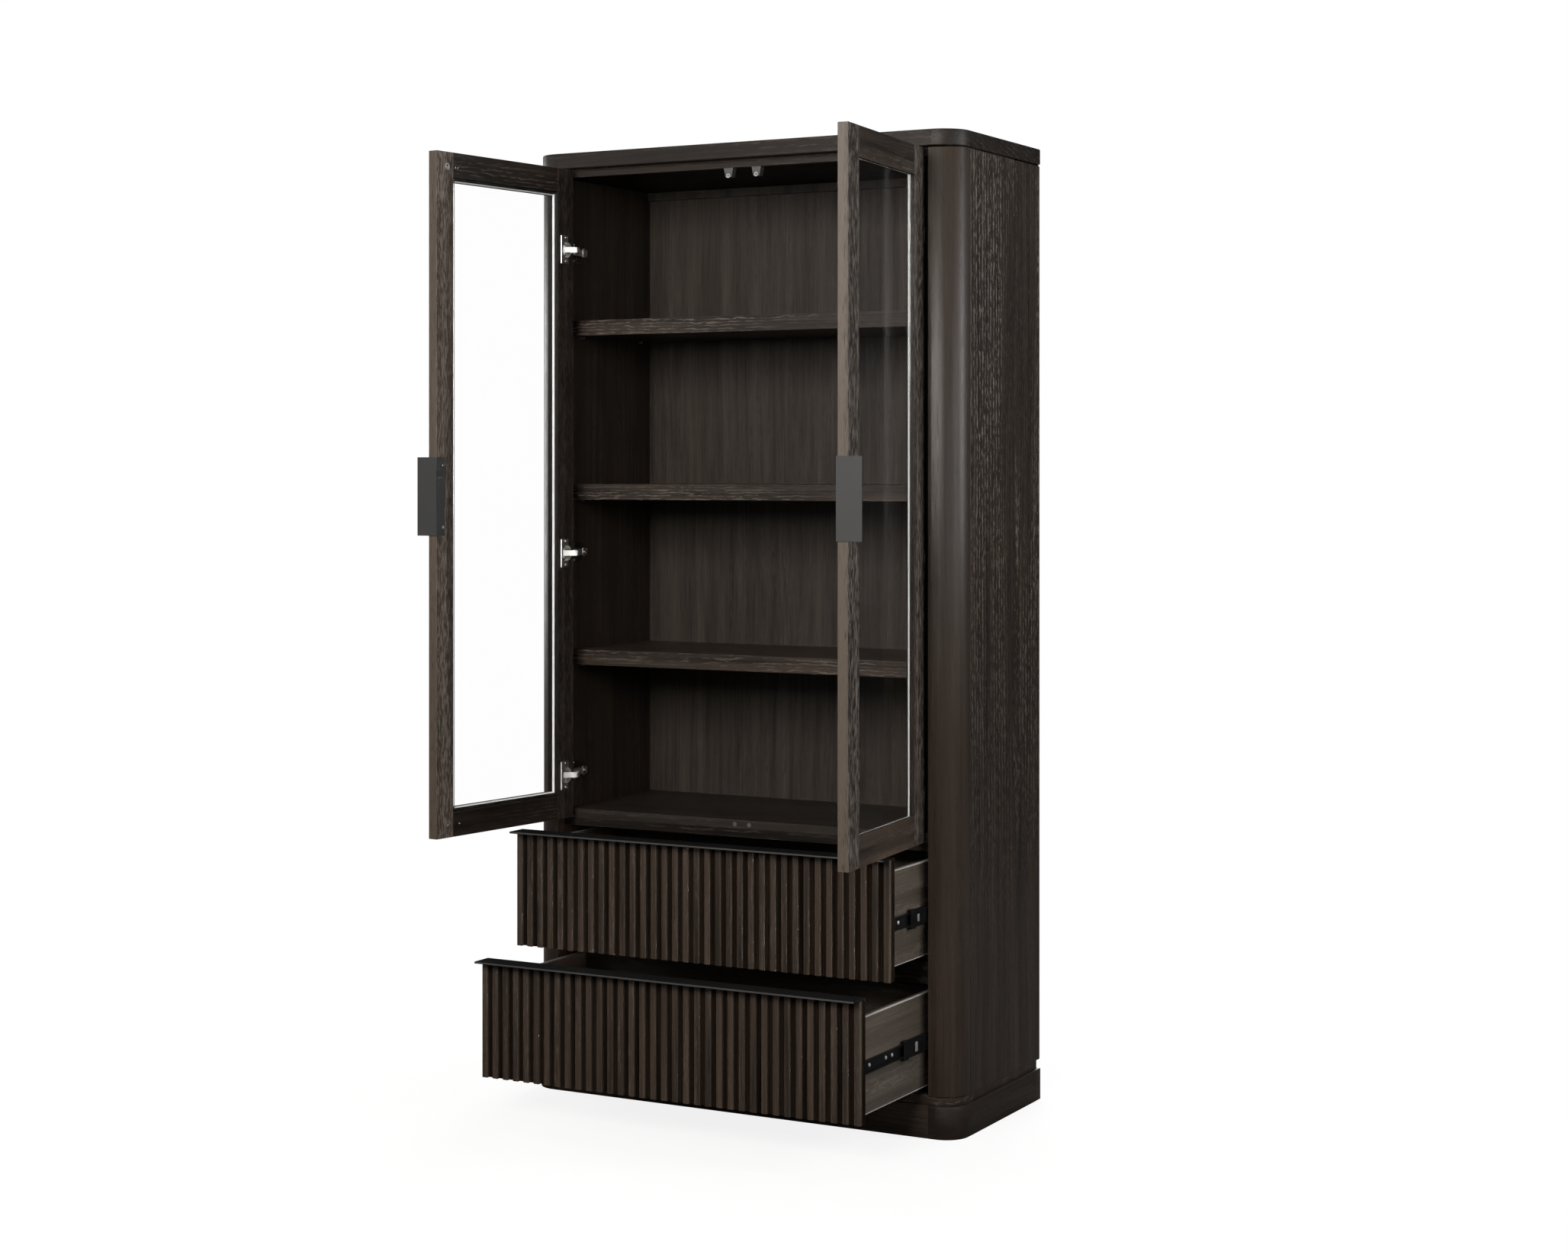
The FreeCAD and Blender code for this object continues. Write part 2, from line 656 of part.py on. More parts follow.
def door_catches():
    # magnets in wedge-shaped housings under the top rail, and flat stops on the floor's edge
    pieces = []
    for side in (-1, 1):
        owner = doc.addObject("PartDesign::Body", "catch_housing")
        profile = sketch(owner, "XZ_Plane", "-" + deep("rail_face + magnet_sheet"))
        middle = "%d * catch_x" % side
        foot = "ceiling - catch_drop"
        outline(profile, [("%s - catch_foot / 2" % middle, foot),
                          ("%s + catch_foot / 2" % middle, foot),
                          ("%s + catch_top / 2" % middle, "ceiling"),
                          ("%s - catch_top / 2" % middle, "ceiling")])
        pad(owner, profile, "catch_depth", True)
        pieces.append(owner)
        pieces.append(rod_back("catch_magnet", "magnet_radius", "magnet_sheet", middle,
                               deep("rail_face"), "strike_height"))
        pieces.append(rod_back("door_stop", "magnet_radius", "magnet_sheet",
                               "%d * stop_x" % side, deep("rail_face - magnet_sheet"),
                               "stop_height"))
    settle("door_catches", group("door_catches", pieces))


# --- doors -------------------------------------------------------------------------------------

def door_span(side, near, far):
    # a stretch along the closed door, both ends measured from its hinge edge
    return span(side, "%s - (%s)" % (hinge_edge, far), "%s - (%s)" % (hinge_edge, near))


def stile(side, name, near, rebated_near):
    # an upright of the frame: its sight edge steps back for the glass and its strip
    ends = ("door_bottom", "door_top")
    step = deep(door_inside + " - rebate_depth")
    outer = box(name + "_outer", door_span(side, near, near + " + stile_width"),
                (deep("door_face"), step), ends)
    if rebated_near:
        inner_span = door_span(side, near + " + rebate_width", near + " + stile_width")
    else:
        inner_span = door_span(side, near, near + " + stile_width - rebate_width")
    inner = box(name + "_inner", inner_span, (step, deep(door_inside)), ends)
    return joined(name, [outer, inner])


def hinge_stile(side, name):
    # the hinge stile is bored for the three cups
    bores = [rod_back(name + "_bore", "cup_radius", "cup_depth",
                      door_span(side, "cup_setback", "cup_setback")[0],
                      deep(door_inside + " - cup_depth"), height)
             for height in ("lower_hinge", "middle_hinge", "upper_hinge")]
    return cut(name, stile(side, name + "_blank", "0", False), group(name + "_bores", bores))


def door_rails(side, name):
    # each cross piece laps over the stiles' rebates at its ends
    step = deep(door_inside + " - rebate_depth")
    sight = door_span(side, "stile_width", "door_width - stile_width")
    lapped = door_span(side, "stile_width - rebate_width",
                       "door_width - stile_width + rebate_width")
    rails = []
    for foot, lift in (("door_bottom", "0"), ("door_top - door_rail_height", "rebate_width")):
        outer = box(name + "_outer", sight, (deep("door_face"), step),
                    (foot, foot + " + door_rail_height"))
        low = "%s + %s" % (foot, lift)
        inner = box(name + "_inner", lapped, (step, deep(door_inside)),
                    (low, low + " + door_rail_height - rebate_width"))
        rails.append(joined(name + "_one", [outer, inner]))
    return group(name, rails)


def door_glass(side, name):
    edge = "(stile_width - rebate_width + glass_play)"
    ends = "(door_rail_height - rebate_width + glass_play)"
    face = door_inside + " - rebate_depth"
    return box(name, door_span(side, edge, "door_width - " + edge),
               (deep(face), deep(face + " + glass_thickness")),
               ("door_bottom + " + ends, "door_top - " + ends))


def frame_ring(side, inset):
    # corners of an upright rectangle in the door's plane, inset from the door's outline
    left, right = door_span(side, "stile_width - " + inset, "door_width - stile_width + " + inset)
    low = "door_bottom + door_rail_height - " + inset
    high = "door_top - door_rail_height + " + inset
    return [(left, low), (right, low), (right, high), (left, high)]


def door_beads(side, name):
    # a clear glazing strip that holds the glass in its rebate and slopes down to it all round
    owner = doc.addObject("PartDesign::Body", name)
    seat = door_inside + " - rebate_depth + glass_thickness"
    profile = sketch(owner, "XZ_Plane", "-" + deep(seat))
    outline(profile, frame_ring(side, "rebate_width"))
    outline(profile, frame_ring(side, "0"))
    ring = pad(owner, profile, "rebate_depth - glass_thickness - glazing_drop", True)
    soften(owner, "Chamfer", ring, rim_edges(ring), "glazing_slope")
    return owner


def hinge_cup(side, height):
    # a pressed cup with a flange that lies on the door's inner face
    centre = door_span(side, "cup_setback", "cup_setback")[0]
    flange = box("cup_flange", door_span(side, "flange_inner", "flange_outer"),
                 (deep(door_inside), deep(door_inside + " + flange_sheet")),
                 ("%s - flange_height / 2" % height, "%s + flange_height / 2" % height))
    shell = rod_back("cup_shell", "cup_radius", "cup_depth + flange_sheet", centre,
                     deep(door_inside + " - cup_depth"), height)
    hollow = rod_back("cup_hollow", "cup_radius - cup_wall", "cup_depth + flange_sheet",
                      centre, deep(door_inside + " - cup_depth + cup_wall"), height)
    return cut("hinge_cup", joined("cup_solid", [flange, shell]), hollow)


def door_handle(side, name):
    # one folded plate: it covers the free edge, stands out in front and turns in behind the door
    owner = doc.addObject("PartDesign::Body", name)
    profile = sketch(owner, "XY_Plane", "handle_bottom")
    edge = "%d * %s" % (side, free_edge)
    outside = "%d * (%s - handle_sheet)" % (side, free_edge)
    turned_in = "%d * (%s + handle_flange)" % (side, free_edge)
    tip = deep("door_face - handle_reach")
    outline(profile, [(edge, tip), (outside, tip), (outside, deep(door_inside + " + flange_plate")),
                      (turned_in, deep(door_inside + " + flange_plate")),
                      (turned_in, deep(door_inside)), (edge, deep(door_inside))])
    pad(owner, profile, "handle_length")
    return owner


def door_strikes(side, name):
    # the steel ring that meets the catch, and a buffer near the foot
    upper = door_span(side, "strike_at", "strike_at")[0]
    ring = rod_back(name + "_disc", "strike_radius", "strike_sheet", upper, deep(door_inside),
                    "strike_height")
    hole = rod_back(name + "_hole", "strike_bore", "strike_sheet", upper, deep(door_inside),
                    "strike_height")
    lower = door_span(side, "buffer_at", "buffer_at")[0]
    knob = rod_back(name + "_buffer", "buffer_radius", "strike_sheet", lower, deep(door_inside),
                    "buffer_height")
    return group(name, [cut(name + "_ring", ring, hole), knob])


def door(side, moving):
    settle(moving + "_hinge_stile", hinge_stile(side, moving + "_hinge_stile"), moving)
    free = stile(side, moving + "_free_stile", "door_width - stile_width", True)
    settle(moving + "_free_stile", free, moving)
    settle(moving + "_rails", door_rails(side, moving + "_rails"), moving)
    settle(moving + "_glass", door_glass(side, moving + "_glass"), moving)
    settle(moving + "_beads", door_beads(side, moving + "_beads"), moving)
    cups = [hinge_cup(side, height) for height in ("lower_hinge", "middle_hinge", "upper_hinge")]
    settle(moving + "_hinge_cups", group(moving + "_hinge_cups", cups), moving)
    settle(moving + "_handle", door_handle(side, moving + "_handle"), moving)
    settle(moving + "_strikes", door_strikes(side, moving + "_strikes"), moving)


# --- drawers -----------------------------------------------------------------------------------

def drawer_slats(name, foot):
    # one slat, chamfered along its front arrises, repeated across the front
    owner = doc.addObject("PartDesign::Body", name)
    profile = sketch(owner, "XY_Plane", foot)
    left = "-((slat_count - 1) * slat_pitch + slat_width) / 2"
    right = left + " + slat_width"
    face = deep("door_face")
    eased = deep("door_face + slat_ease")
    rear = deep("door_face + slat_proud")
    outline(profile, [(left + " + slat_ease", face), (right + " - slat_ease", face),
                      (right, eased), (right, rear), (left, rear), (left, eased)])
    first = pad(owner, profile, "front_height")
    repeat(owner, first, "X_Axis", "slat_pitch", "slat_count")
    return owner


def box_side(side, name, foot):
    # the side board with the groove that holds the bottom
    x = span(side, "%s - box_board" % box_outer, box_outer)
    y = (deep(front_back), deep(front_back + " + box_length"))
    board = box(name + "_board", x, y, (foot, foot + " + box_height"))
    grooved = span(side, "%s - box_board" % box_outer, "%s - box_board + groove" % box_outer)
    low = foot + " + bottom_raise"
    groove = box(name + "_groove", grooved, y, (low, low + " + box_bottom"))
    return cut(name, board, groove)


def drawer_box(name, foot):
    sides = [box_side(side, name + "_side", foot) for side in (-1, 1)]
    half = "(%s - box_board)" % box_outer
    front = box(name + "_front", ("-" + half, half),
                (deep(front_back), deep(front_back + " + box_board")),
                (foot + " + bottom_raise + box_bottom", foot + " + box_height"))
    rear = box(name + "_rear", ("-" + half, half),
               (deep(front_back + " + box_length - box_board"), deep(front_back + " + box_length")),
               (foot + " + bottom_raise + box_bottom", foot + " + box_height"))
    return group(name, sides + [front, rear])


def drawer_bottom(name, foot):
    half = "(%s - box_board + groove)" % box_outer
    low = foot + " + bottom_raise"
    return box(name, ("-" + half, half), (deep(front_back), deep(front_back + " + box_length")),
               (low, low + " + box_bottom"))


def channel(name, side, height, tall, web_at, opens_in, start):
    # one slide member: bent sheet with its web upright, open towards the drawer or the cabinet
    owner = doc.addObject("PartDesign::Body", name)
    profile = sketch(owner, "XZ_Plane", "-" + start)
    mirrored = -side if opens_in else side
    web = "(%d * (%s))" % (side, web_at)
    inside = "(%s + %d * slide_sheet)" % (web, mirrored)
    lip = "(%s + %d * member_lap)" % (web, mirrored)
    low = "(%s - %s / 2)" % (height, tall)
    high = "(%s + %s / 2)" % (height, tall)
    outline(profile, [(web, low), (lip, low), (lip, low + " + slide_sheet"),
                      (inside, low + " + slide_sheet"), (inside, high + " - slide_sheet"),
                      (lip, high + " - slide_sheet"), (lip, high), (web, high)])
    folded = pad(owner, profile, "slide_length", True)
    bends = edges_along(folded, FreeCAD.Vector(0, 1, 0), lambda point: point.x * mirrored, 2)
    soften(owner, "Fillet", folded, bends, "slide_bend")
    return owner


def end_cap(side, height):
    # the moulded cap round the front end of a middle member, clear of the cabinet member
    owner = doc.addObject("PartDesign::Body", "end_cap")
    profile = sketch(owner, "XZ_Plane", "-" + deep("slide_start"))
    web = "(%d * (%s - 2 * slide_sheet))" % (side, opening)
    outer = "(%s + %d * cap_proud)" % (web, side)
    lip = "(%s - %d * member_lap)" % (web, side)
    low = "(%s - middle_member / 2)" % height
    high = "(%s + middle_member / 2)" % height
    outline(profile, [(lip, low + " - cap_over"), (outer, low + " - cap_over"),
                      (outer, high + " + cap_over"), (lip, high + " + cap_over"),
                      (lip, high), (web, high), (web, low), (lip, low)])
    pad(owner, profile, "cap_length", True)
    return owner


def slide_pair(name, height, tall, web_at, opens_in, start):
    return [channel(name, side, height, tall, web_at, opens_in, start) for side in (-1, 1)]


def drawer(moving, middle, front, box_foot, height):
    board_x = centred("drawer_width")
    top = front + " + front_height"
    settle(moving + "_front", box(moving + "_front", board_x,
                                  (deep("door_face + slat_proud"), deep(front_back)),
                                  (front, top)), moving)
    settle(moving + "_slats", drawer_slats(moving + "_slats", front), moving)
    settle(moving + "_pull", box(moving + "_pull", board_x,
                                 (deep("door_face - pull_reach"), deep(front_back)),
                                 (top, top + " + pull_sheet")), moving)
    settle(moving + "_box", drawer_box(moving + "_box", box_foot), moving)
    settle(moving + "_bottom", drawer_bottom(moving + "_bottom", box_foot), moving)
    inner = slide_pair(moving + "_member", height, "drawer_member", box_outer, False,
                       deep(front_back))
    settle(moving + "_slides", group(moving + "_slides", inner), moving)
    between = slide_pair(middle + "_member", height, "middle_member",
                         opening + " - 2 * slide_sheet", True, deep("slide_start"))
    caps = [end_cap(side, height) for side in (-1, 1)]
    settle(middle + "_slides", group(middle + "_slides", between + caps), middle)


def cabinet_slides():
    members = []
    packers = []
    for height in ("lower_slide", "upper_slide"):
        members += slide_pair("cabinet_member", height, "cabinet_member", opening, True,
                              deep("slide_start"))
        for side in (-1, 1):
            x = span(side, opening, "clear_width / 2")
            y = (deep(lining_front), deep("slide_start + slide_length"))
            packers.append(box("slide_packer", x, y, ("%s - cabinet_member / 2" % height,
                                                      "%s + cabinet_member / 2" % height)))
    settle("cabinet_slides", group("cabinet_slides", members))
    settle("slide_packers", group("slide_packers", packers))


# --- assembly ----------------------------------------------------------------------------------

top_slab()
slab_spacer()
base_plate()
plinth()
for side, word in ((-1, "left"), (1, "right")):
    corner_post(side, word + "_corner_post")
    side_panel(side, word + "_side_panel")
    side_lining(side, word + "_side_lining")
side_battens()
back()
top_and_floor()
for top in ("lower_shelf", "middle_shelf", "upper_shelf"):
    shelf(top)
shelf_pins()
carcass_hinges()
door_catches()
door(-1, "left_door")
door(1, "right_door")
drawer("lower_drawer", "lower_middle", "lower_front", "lower_box", "lower_slide")
drawer("upper_drawer", "upper_middle", "upper_front", "upper_box", "upper_slide")
cabinet_slides()
doc.recompute()

for item in doc.Objects:
    if "Invalid" in item.State or "Error" in item.State:
        raise RuntimeError("%s failed: %s" % (item.Name, item.State))
for label, item in subparts.items():
    if item.Shape.isNull() or not item.Shape.isValid() or not item.Shape.Solids:
        raise RuntimeError("%s has no valid solid" % label)

os.makedirs("parts", exist_ok=True)
for label, item in subparts.items():
    item.Shape.exportStep(os.path.join("parts", label + ".step"))
print(len(subparts), "sub-parts written")
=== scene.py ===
import math
import random

import bmesh
import bpy
from mathutils import Matrix, Vector


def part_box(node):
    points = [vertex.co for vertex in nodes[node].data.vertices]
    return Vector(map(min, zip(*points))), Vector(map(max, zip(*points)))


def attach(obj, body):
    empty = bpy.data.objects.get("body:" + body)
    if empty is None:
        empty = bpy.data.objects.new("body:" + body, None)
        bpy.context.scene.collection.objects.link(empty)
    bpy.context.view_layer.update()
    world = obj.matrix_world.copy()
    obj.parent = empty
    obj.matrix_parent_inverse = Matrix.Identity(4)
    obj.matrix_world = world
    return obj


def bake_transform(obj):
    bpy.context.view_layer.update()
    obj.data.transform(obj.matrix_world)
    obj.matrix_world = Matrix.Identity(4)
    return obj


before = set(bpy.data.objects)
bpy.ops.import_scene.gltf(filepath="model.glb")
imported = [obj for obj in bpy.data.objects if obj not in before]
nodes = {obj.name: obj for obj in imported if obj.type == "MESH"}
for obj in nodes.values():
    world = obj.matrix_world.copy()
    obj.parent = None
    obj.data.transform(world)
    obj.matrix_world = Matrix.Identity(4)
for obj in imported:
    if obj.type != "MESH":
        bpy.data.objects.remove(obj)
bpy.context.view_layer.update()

# Looks for a tall dark oak bookcase with two glass doors and two slatted drawers.
# Lengths are in metres; mm turns workshop figures into them.
mm = 0.001
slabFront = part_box("top_slab")[0].y
sides = (("left", -1), ("right", 1))
drawers = ("lower", "upper")
upright = (0, 0, 1)
acrossX = (1, 0, 0)
acrossY = (0, 1, 0)
outFront = (0, -1, 0)
white = (1.0, 1.0, 1.0, 1.0)


def at(x, deep, z):
    # a place from the middle, back from the slab's front edge and up from the floor, in mm
    return Vector((x * mm, slabFront + deep * mm, z * mm))


cameraSet = {"place": (2.6807, -4.9623, 1.3212), "turn": 28.376, "lens": 60.85, "sensor": 36.0,
             "shiftY": -0.0994, "clip": 60.0}


def makeCamera():
    data = bpy.data.cameras.new("camera")
    data.lens = cameraSet["lens"]
    data.sensor_width = cameraSet["sensor"]
    data.shift_y = cameraSet["shiftY"]
    data.clip_end = cameraSet["clip"]
    camera = bpy.data.objects.new("camera", data)
    camera.location = cameraSet["place"]
    camera.rotation_euler = (math.radians(90), 0.0, math.radians(cameraSet["turn"]))
    bpy.context.collection.objects.link(camera)
    bpy.context.scene.camera = camera


# place, target, width, height, watts, tint, and the fan of light in degrees where a grid narrows it
lampSet = {
    "frontSoft": ((0.4, -3.8, 2.3), (0.2, -0.2, 1.3), 1.9, 1.4, 160, (1.0, 0.97, 0.93)),
    "leftFill": ((-3.3, -2.4, 2.2), (0.0, -0.3, 1.2), 1.6, 1.8, 24, (1.0, 0.98, 0.95)),
    "rightFill": ((3.0, -2.6, 1.6), (0.0, -0.3, 0.6), 1.2, 1.2, 14, (1.0, 0.98, 0.95)),
    "rightStrip": ((2.84, 0.6, 2.0), (0.48, -0.1, 1.6), 0.4, 1.5, 40, (0.94, 0.98, 1.0)),
    "rightSide": ((3.4, -0.95, 1.7), (0.4, -0.4, 1.3), 0.5, 1.4, 22, (1.0, 0.99, 0.98)),
    "lowGrid": ((3.2, -0.75, 0.40), (0.42, -0.4, 0.38), 0.3, 0.5, 0.32, (1.0, 0.98, 0.96), 8),
    "backSoft": ((-0.8, 3.6, 2.0), (0.0, 0.2, 1.0), 1.6, 1.8, 120, (1.0, 1.0, 1.0)),
    "leftSoft": ((-3.4, 0.6, 1.6), (-0.5, 0.05, 1.1), 0.8, 1.6, 45, (1.0, 1.0, 1.0)),
    "topSoft": ((0.0, 0.6, 4.2), (0.0, 0.2, 2.0), 1.6, 1.6, 55, (1.0, 1.0, 1.0)),
}


def makeLamps():
    for name, (place, target, width, height, watts, tint, *fan) in lampSet.items():
        data = bpy.data.lights.new(name, "AREA")
        data.shape = "RECTANGLE"
        data.size = width
        data.size_y = height
        data.energy = watts
        data.color = tint
        if fan:
            data.spread = math.radians(fan[0])
        lamp = bpy.data.objects.new(name, data)
        lamp.location = place
        aim = Vector(target) - Vector(place)
        lamp.rotation_euler = aim.to_track_quat("-Z", "Y").to_euler()
        bpy.context.collection.objects.link(lamp)


def nodeAdder(tree):
    # makes a shader node: sockets take a value or another node's output
    def add(kind, inputs=None, **settings):
        node = tree.nodes.new("ShaderNode" + kind)
        for name, value in settings.items():
            setattr(node, name, value)
        fill(node, inputs or {})
        return node
    return add


def fill(node, inputs):
    for key, value in inputs.items():
        if isinstance(value, bpy.types.NodeSocket):
            node.id_data.links.new(value, node.inputs[key])
        else:
            node.inputs[key].default_value = value


def maths(add, operation, a, b=0.0):
    return add("Math", {0: a, 1: b}, operation=operation).outputs[0]


def times(add, a, b):
    return maths(add, "MULTIPLY", a, b)


def ramp(add, value, low, high, bottom=0.0, top=1.0):
    return add("MapRange", {0: value, 1: low, 2: high, 3: bottom, 4: top}, clamp=True).outputs[0]


def mixed(add, factor, a, b):
    return add("Mix", {0: factor, 6: a, 7: b}, data_type="RGBA").outputs[2]


def scaled(add, vector, factors):
    return add("VectorMath", {0: vector, 1: factors}, operation="MULTIPLY").outputs[0]


def dot(add, a, b):
    return add("VectorMath", {0: a, 1: b}, operation="DOT_PRODUCT").outputs["Value"]


def lengthOf(add, vector):
    return add("VectorMath", {0: vector}, operation="LENGTH").outputs["Value"]


def seenDirectly(add):
    # 1 for rays from the camera, also those that went straight through glass
    path = add("LightPath").outputs
    turned = maths(add, "ADD", path["Glossy Depth"], path["Diffuse Depth"])
    through = times(add, path["Is Transmission Ray"], maths(add, "LESS_THAN", turned, 0.5))
    return maths(add, "MAXIMUM", path["Is Camera Ray"], through)


worldSet = {"ambient": 0.12, "glossFront": 0.35, "glossBack": 0.04, "darkens": (-0.5, 0.3)}


def makeWorld():
    # white where it is seen, soft for light, and a studio that is darker at the back for reflections
    world = bpy.data.worlds.new("studio")
    bpy.context.scene.world = world
    world.use_nodes = True
    tree = world.node_tree
    tree.nodes.clear()
    add = nodeAdder(tree)
    back = add("SeparateXYZ", {0: add("TexCoord").outputs["Generated"]}).outputs["Y"]
    gloss = ramp(add, back, *worldSet["darkens"], worldSet["glossFront"], worldSet["glossBack"])
    reflected = add("LightPath").outputs["Is Glossy Ray"]
    soft = add("Mix", {0: reflected, 2: worldSet["ambient"], 3: gloss}).outputs[0]
    strength = maths(add, "MAXIMUM", seenDirectly(add), soft)
    plain = add("Background", {"Color": white, "Strength": strength})
    add("OutputWorld", {"Surface": plain.outputs[0]})


floorSet = {"size": 40.0, "shadowShare": 0.14, "near": 0.7, "far": 1.9,
            "paint": (0.85, 0.85, 0.85, 1.0), "bounce": (0.12, 0.12, 0.12, 1.0)}


def makeFloor():
    # white all round, with the bookcase's shadow fading out at a distance from it
    half = floorSet["size"] / 2
    corners = [(-half, -half, 0), (half, -half, 0), (half, half, 0), (-half, half, 0)]
    mesh = bpy.data.meshes.new("floor")
    mesh.from_pydata(corners, [], [(0, 1, 2, 3)])
    floor = bpy.data.objects.new("floor", mesh)
    bpy.context.collection.objects.link(floor)
    material = bpy.data.materials.new("paleFloor")
    material.use_nodes = True
    tree = material.node_tree
    tree.nodes.clear()
    add = nodeAdder(tree)
    direct = seenDirectly(add)
    matt = add("BsdfDiffuse", {"Color": mixed(add, direct, floorSet["bounce"], floorSet["paint"])})
    glow = add("Emission", {"Color": white, "Strength": 1.0})
    away = lengthOf(add, add("NewGeometry").outputs["Position"])
    near = ramp(add, away, floorSet["near"], floorSet["far"], floorSet["shadowShare"], 0.0)
    share = times(add, direct, maths(add, "SUBTRACT", 1.0, near))
    both = add("MixShader", {0: share, 1: matt.outputs[0], 2: glow.outputs[0]})
    add("OutputMaterial", {"Surface": both.outputs[0]})
    mesh.materials.append(material)


def newGroup(name, inputs, outputs):
    # inputs: (label, kind, value); outputs: labels of numbers
    tree = bpy.data.node_groups.new(name, "ShaderNodeTree")
    for label, kind, value in inputs:
        socket = tree.interface.new_socket(name=label, in_out="INPUT", socket_type="NodeSocket" + kind)
        if value is not None:
            socket.default_value = value
    for label in outputs:
        tree.interface.new_socket(name=label, in_out="OUTPUT", socket_type="NodeSocketFloat")
    source = tree.nodes.new("NodeGroupInput")
    target = tree.nodes.new("NodeGroupOutput")
    return tree, nodeAdder(tree), source.outputs, target


def stretched(add, vector, across, along):
    # the position scaled differently across and along the grain
    return scaled(add, vector, (across, across, along))


def noise(add, vector, detail=2.0, roughness=0.5, scale=1.0):
    inputs = {"Vector": vector, "Scale": scale, "Detail": detail, "Roughness": roughness}
    return add("TexNoise", inputs).outputs["Fac"]


def drifted(add, vector, frequency, amount):
    # the position pushed sideways by a slow noise
    slow = add("TexNoise", {"Vector": stretched(add, vector, *frequency), "Scale": 1.0, "Detail": 2.0})
    middle = (0.5, 0.5, 0.5)
    centred = add("VectorMath", {0: slow.outputs["Color"], 1: middle}, operation="SUBTRACT").outputs[0]
    shift = add("VectorMath", {0: centred, "Scale": amount}, operation="SCALE").outputs[0]
    return add("VectorMath", {0: vector, 1: shift}, operation="ADD").outputs[0]


# noise rates across and along the grain, pushes in metres, and the soft limits and shares of the marks
grainSet = {
    "bend": (4.0, 0.8), "uneven": (30.0, 1.5), "unevenPush": 0.014, "ragged": (110.0, 40.0),
    "raggedPush": 0.009, "streak": (260.0, 4.0), "band": (45.0, 1.6), "hair": (1100.0, 40.0),
    "zone": (13.0, 0.9), "earlyStarts": (0.0, 0.08), "earlyEnds": (0.4, 0.25), "cluster": (0.42, 0.56),
    "openPore": (0.5, 0.64), "poreEarly": 0.7, "poreLate": 0.3, "dash": (0.44, 0.56), "strayEdge": 0.08,
    "strayShare": 0.8}


def makeGrainGroup():
    # growth rings round a distant heart with streaks and pores, and silvery filler broken up along the
    # early wood; the grain runs along Z
    tree, add, given, out = newGroup("oakGrain", [
        ("Vector", "Vector", None), ("Ring Width", "Float", 0.012), ("Wander", "Float", 0.03),
        ("Fleck Rate", "Float", 26.0), ("Fleck Width", "Float", 140.0), ("Fleck Gate", "Float", 0.62),
        ("Between", "Float", 0.15), ("Figure", "Float", 0.5)],
        ["Tone", "Pores", "Lines", "Height"])
    bent = drifted(add, given["Vector"], grainSet["bend"], given["Wander"])
    uneven = drifted(add, bent, grainSet["uneven"], grainSet["unevenPush"])
    ragged = drifted(add, uneven, grainSet["ragged"], grainSet["raggedPush"])
    radius = lengthOf(add, scaled(add, ragged, (1.0, 1.0, 0.0)))
    ring = maths(add, "FRACT", maths(add, "DIVIDE", radius, given["Ring Width"]))
    early = times(add, ramp(add, ring, *grainSet["earlyStarts"]), ramp(add, ring, *grainSet["earlyEnds"]))
    streak = noise(add, stretched(add, bent, *grainSet["streak"]), detail=4.0, roughness=0.7)
    band = noise(add, stretched(add, bent, *grainSet["band"]), detail=3.0)
    rate = add("CombineXYZ", {0: given["Fleck Width"], 1: given["Fleck Width"], 2: given["Fleck Rate"]})
    dash = noise(add, scaled(add, bent, rate.outputs[0]), detail=4.0, roughness=0.65)
    hair = noise(add, stretched(add, bent, *grainSet["hair"]))
    zone = noise(add, stretched(add, bent, *grainSet["zone"]), detail=1.0)
    cluster = ramp(add, zone, *grainSet["cluster"], given["Between"], 1.0)
    early = times(add, early, cluster)
    porous = maths(add, "ADD", times(add, early, grainSet["poreEarly"]), grainSet["poreLate"])
    pores = times(add, ramp(add, hair, *grainSet["openPore"]), porous)
    gate = given["Fleck Gate"]
    fullGate = maths(add, "ADD", gate, grainSet["strayEdge"])
    stray = times(add, ramp(add, dash, gate, fullGate, 0.0, grainSet["strayShare"]), cluster)
    lines = maths(add, "MAXIMUM", times(add, early, ramp(add, dash, *grainSet["dash"])), stray)
    lines = times(add, lines, given["Figure"])
    tone = maths(add, "ADD", times(add, streak, 0.5), times(add, band, 0.5))
    height = maths(add, "SUBTRACT", times(add, streak, 0.5), pores)
    fill(out, {"Tone": tone, "Pores": pores, "Lines": lines, "Height": height})
    return tree


wearAndHighlightSet = {"arris": (0.999, 0.86), "rate": 22.0, "patch": (0.3, 0.7), "least": 0.35}


def makeWearAndHighlightGroup():
    # 1 on worn arrises, and on arrises given a painted highlight, broken up by noise
    inputs = [("Radius", "Float", 0.002), ("Amount", "Float", 0.5)]
    tree, add, given, out = newGroup("edgeWear", inputs, ["Mask"])
    bevel = add("Bevel", {"Radius": given["Radius"]}, samples=4)
    kept = dot(add, bevel.outputs[0], add("NewGeometry").outputs["Normal"])
    edge = ramp(add, kept, *wearAndHighlightSet["arris"])
    rubbed = noise(add, add("TexCoord").outputs["Object"], detail=4.0, scale=wearAndHighlightSet["rate"])
    patchy = times(add, edge, ramp(add, rubbed, *wearAndHighlightSet["patch"], wearAndHighlightSet["least"], 1.0))
    fill(out, {"Mask": times(add, patchy, given["Amount"])})
    return tree


def makePatchGroup():
    # broad clouds and fine specks for finish and handling marks
    inputs = [("Size", "Float", 3.0), ("Fine", "Float", 900.0)]
    tree, add, given, out = newGroup("softPatches", inputs, ["Clouds", "Specks"])
    place = add("TexCoord").outputs["Object"]
    fill(out, {"Clouds": noise(add, place, detail=3.0, scale=given["Size"]),
               "Specks": noise(add, place, scale=given["Fine"])})
    return tree


grainGroup = makeGrainGroup()
wearAndHighlightGroup = makeWearAndHighlightGroup()
patchGroup = makePatchGroup()


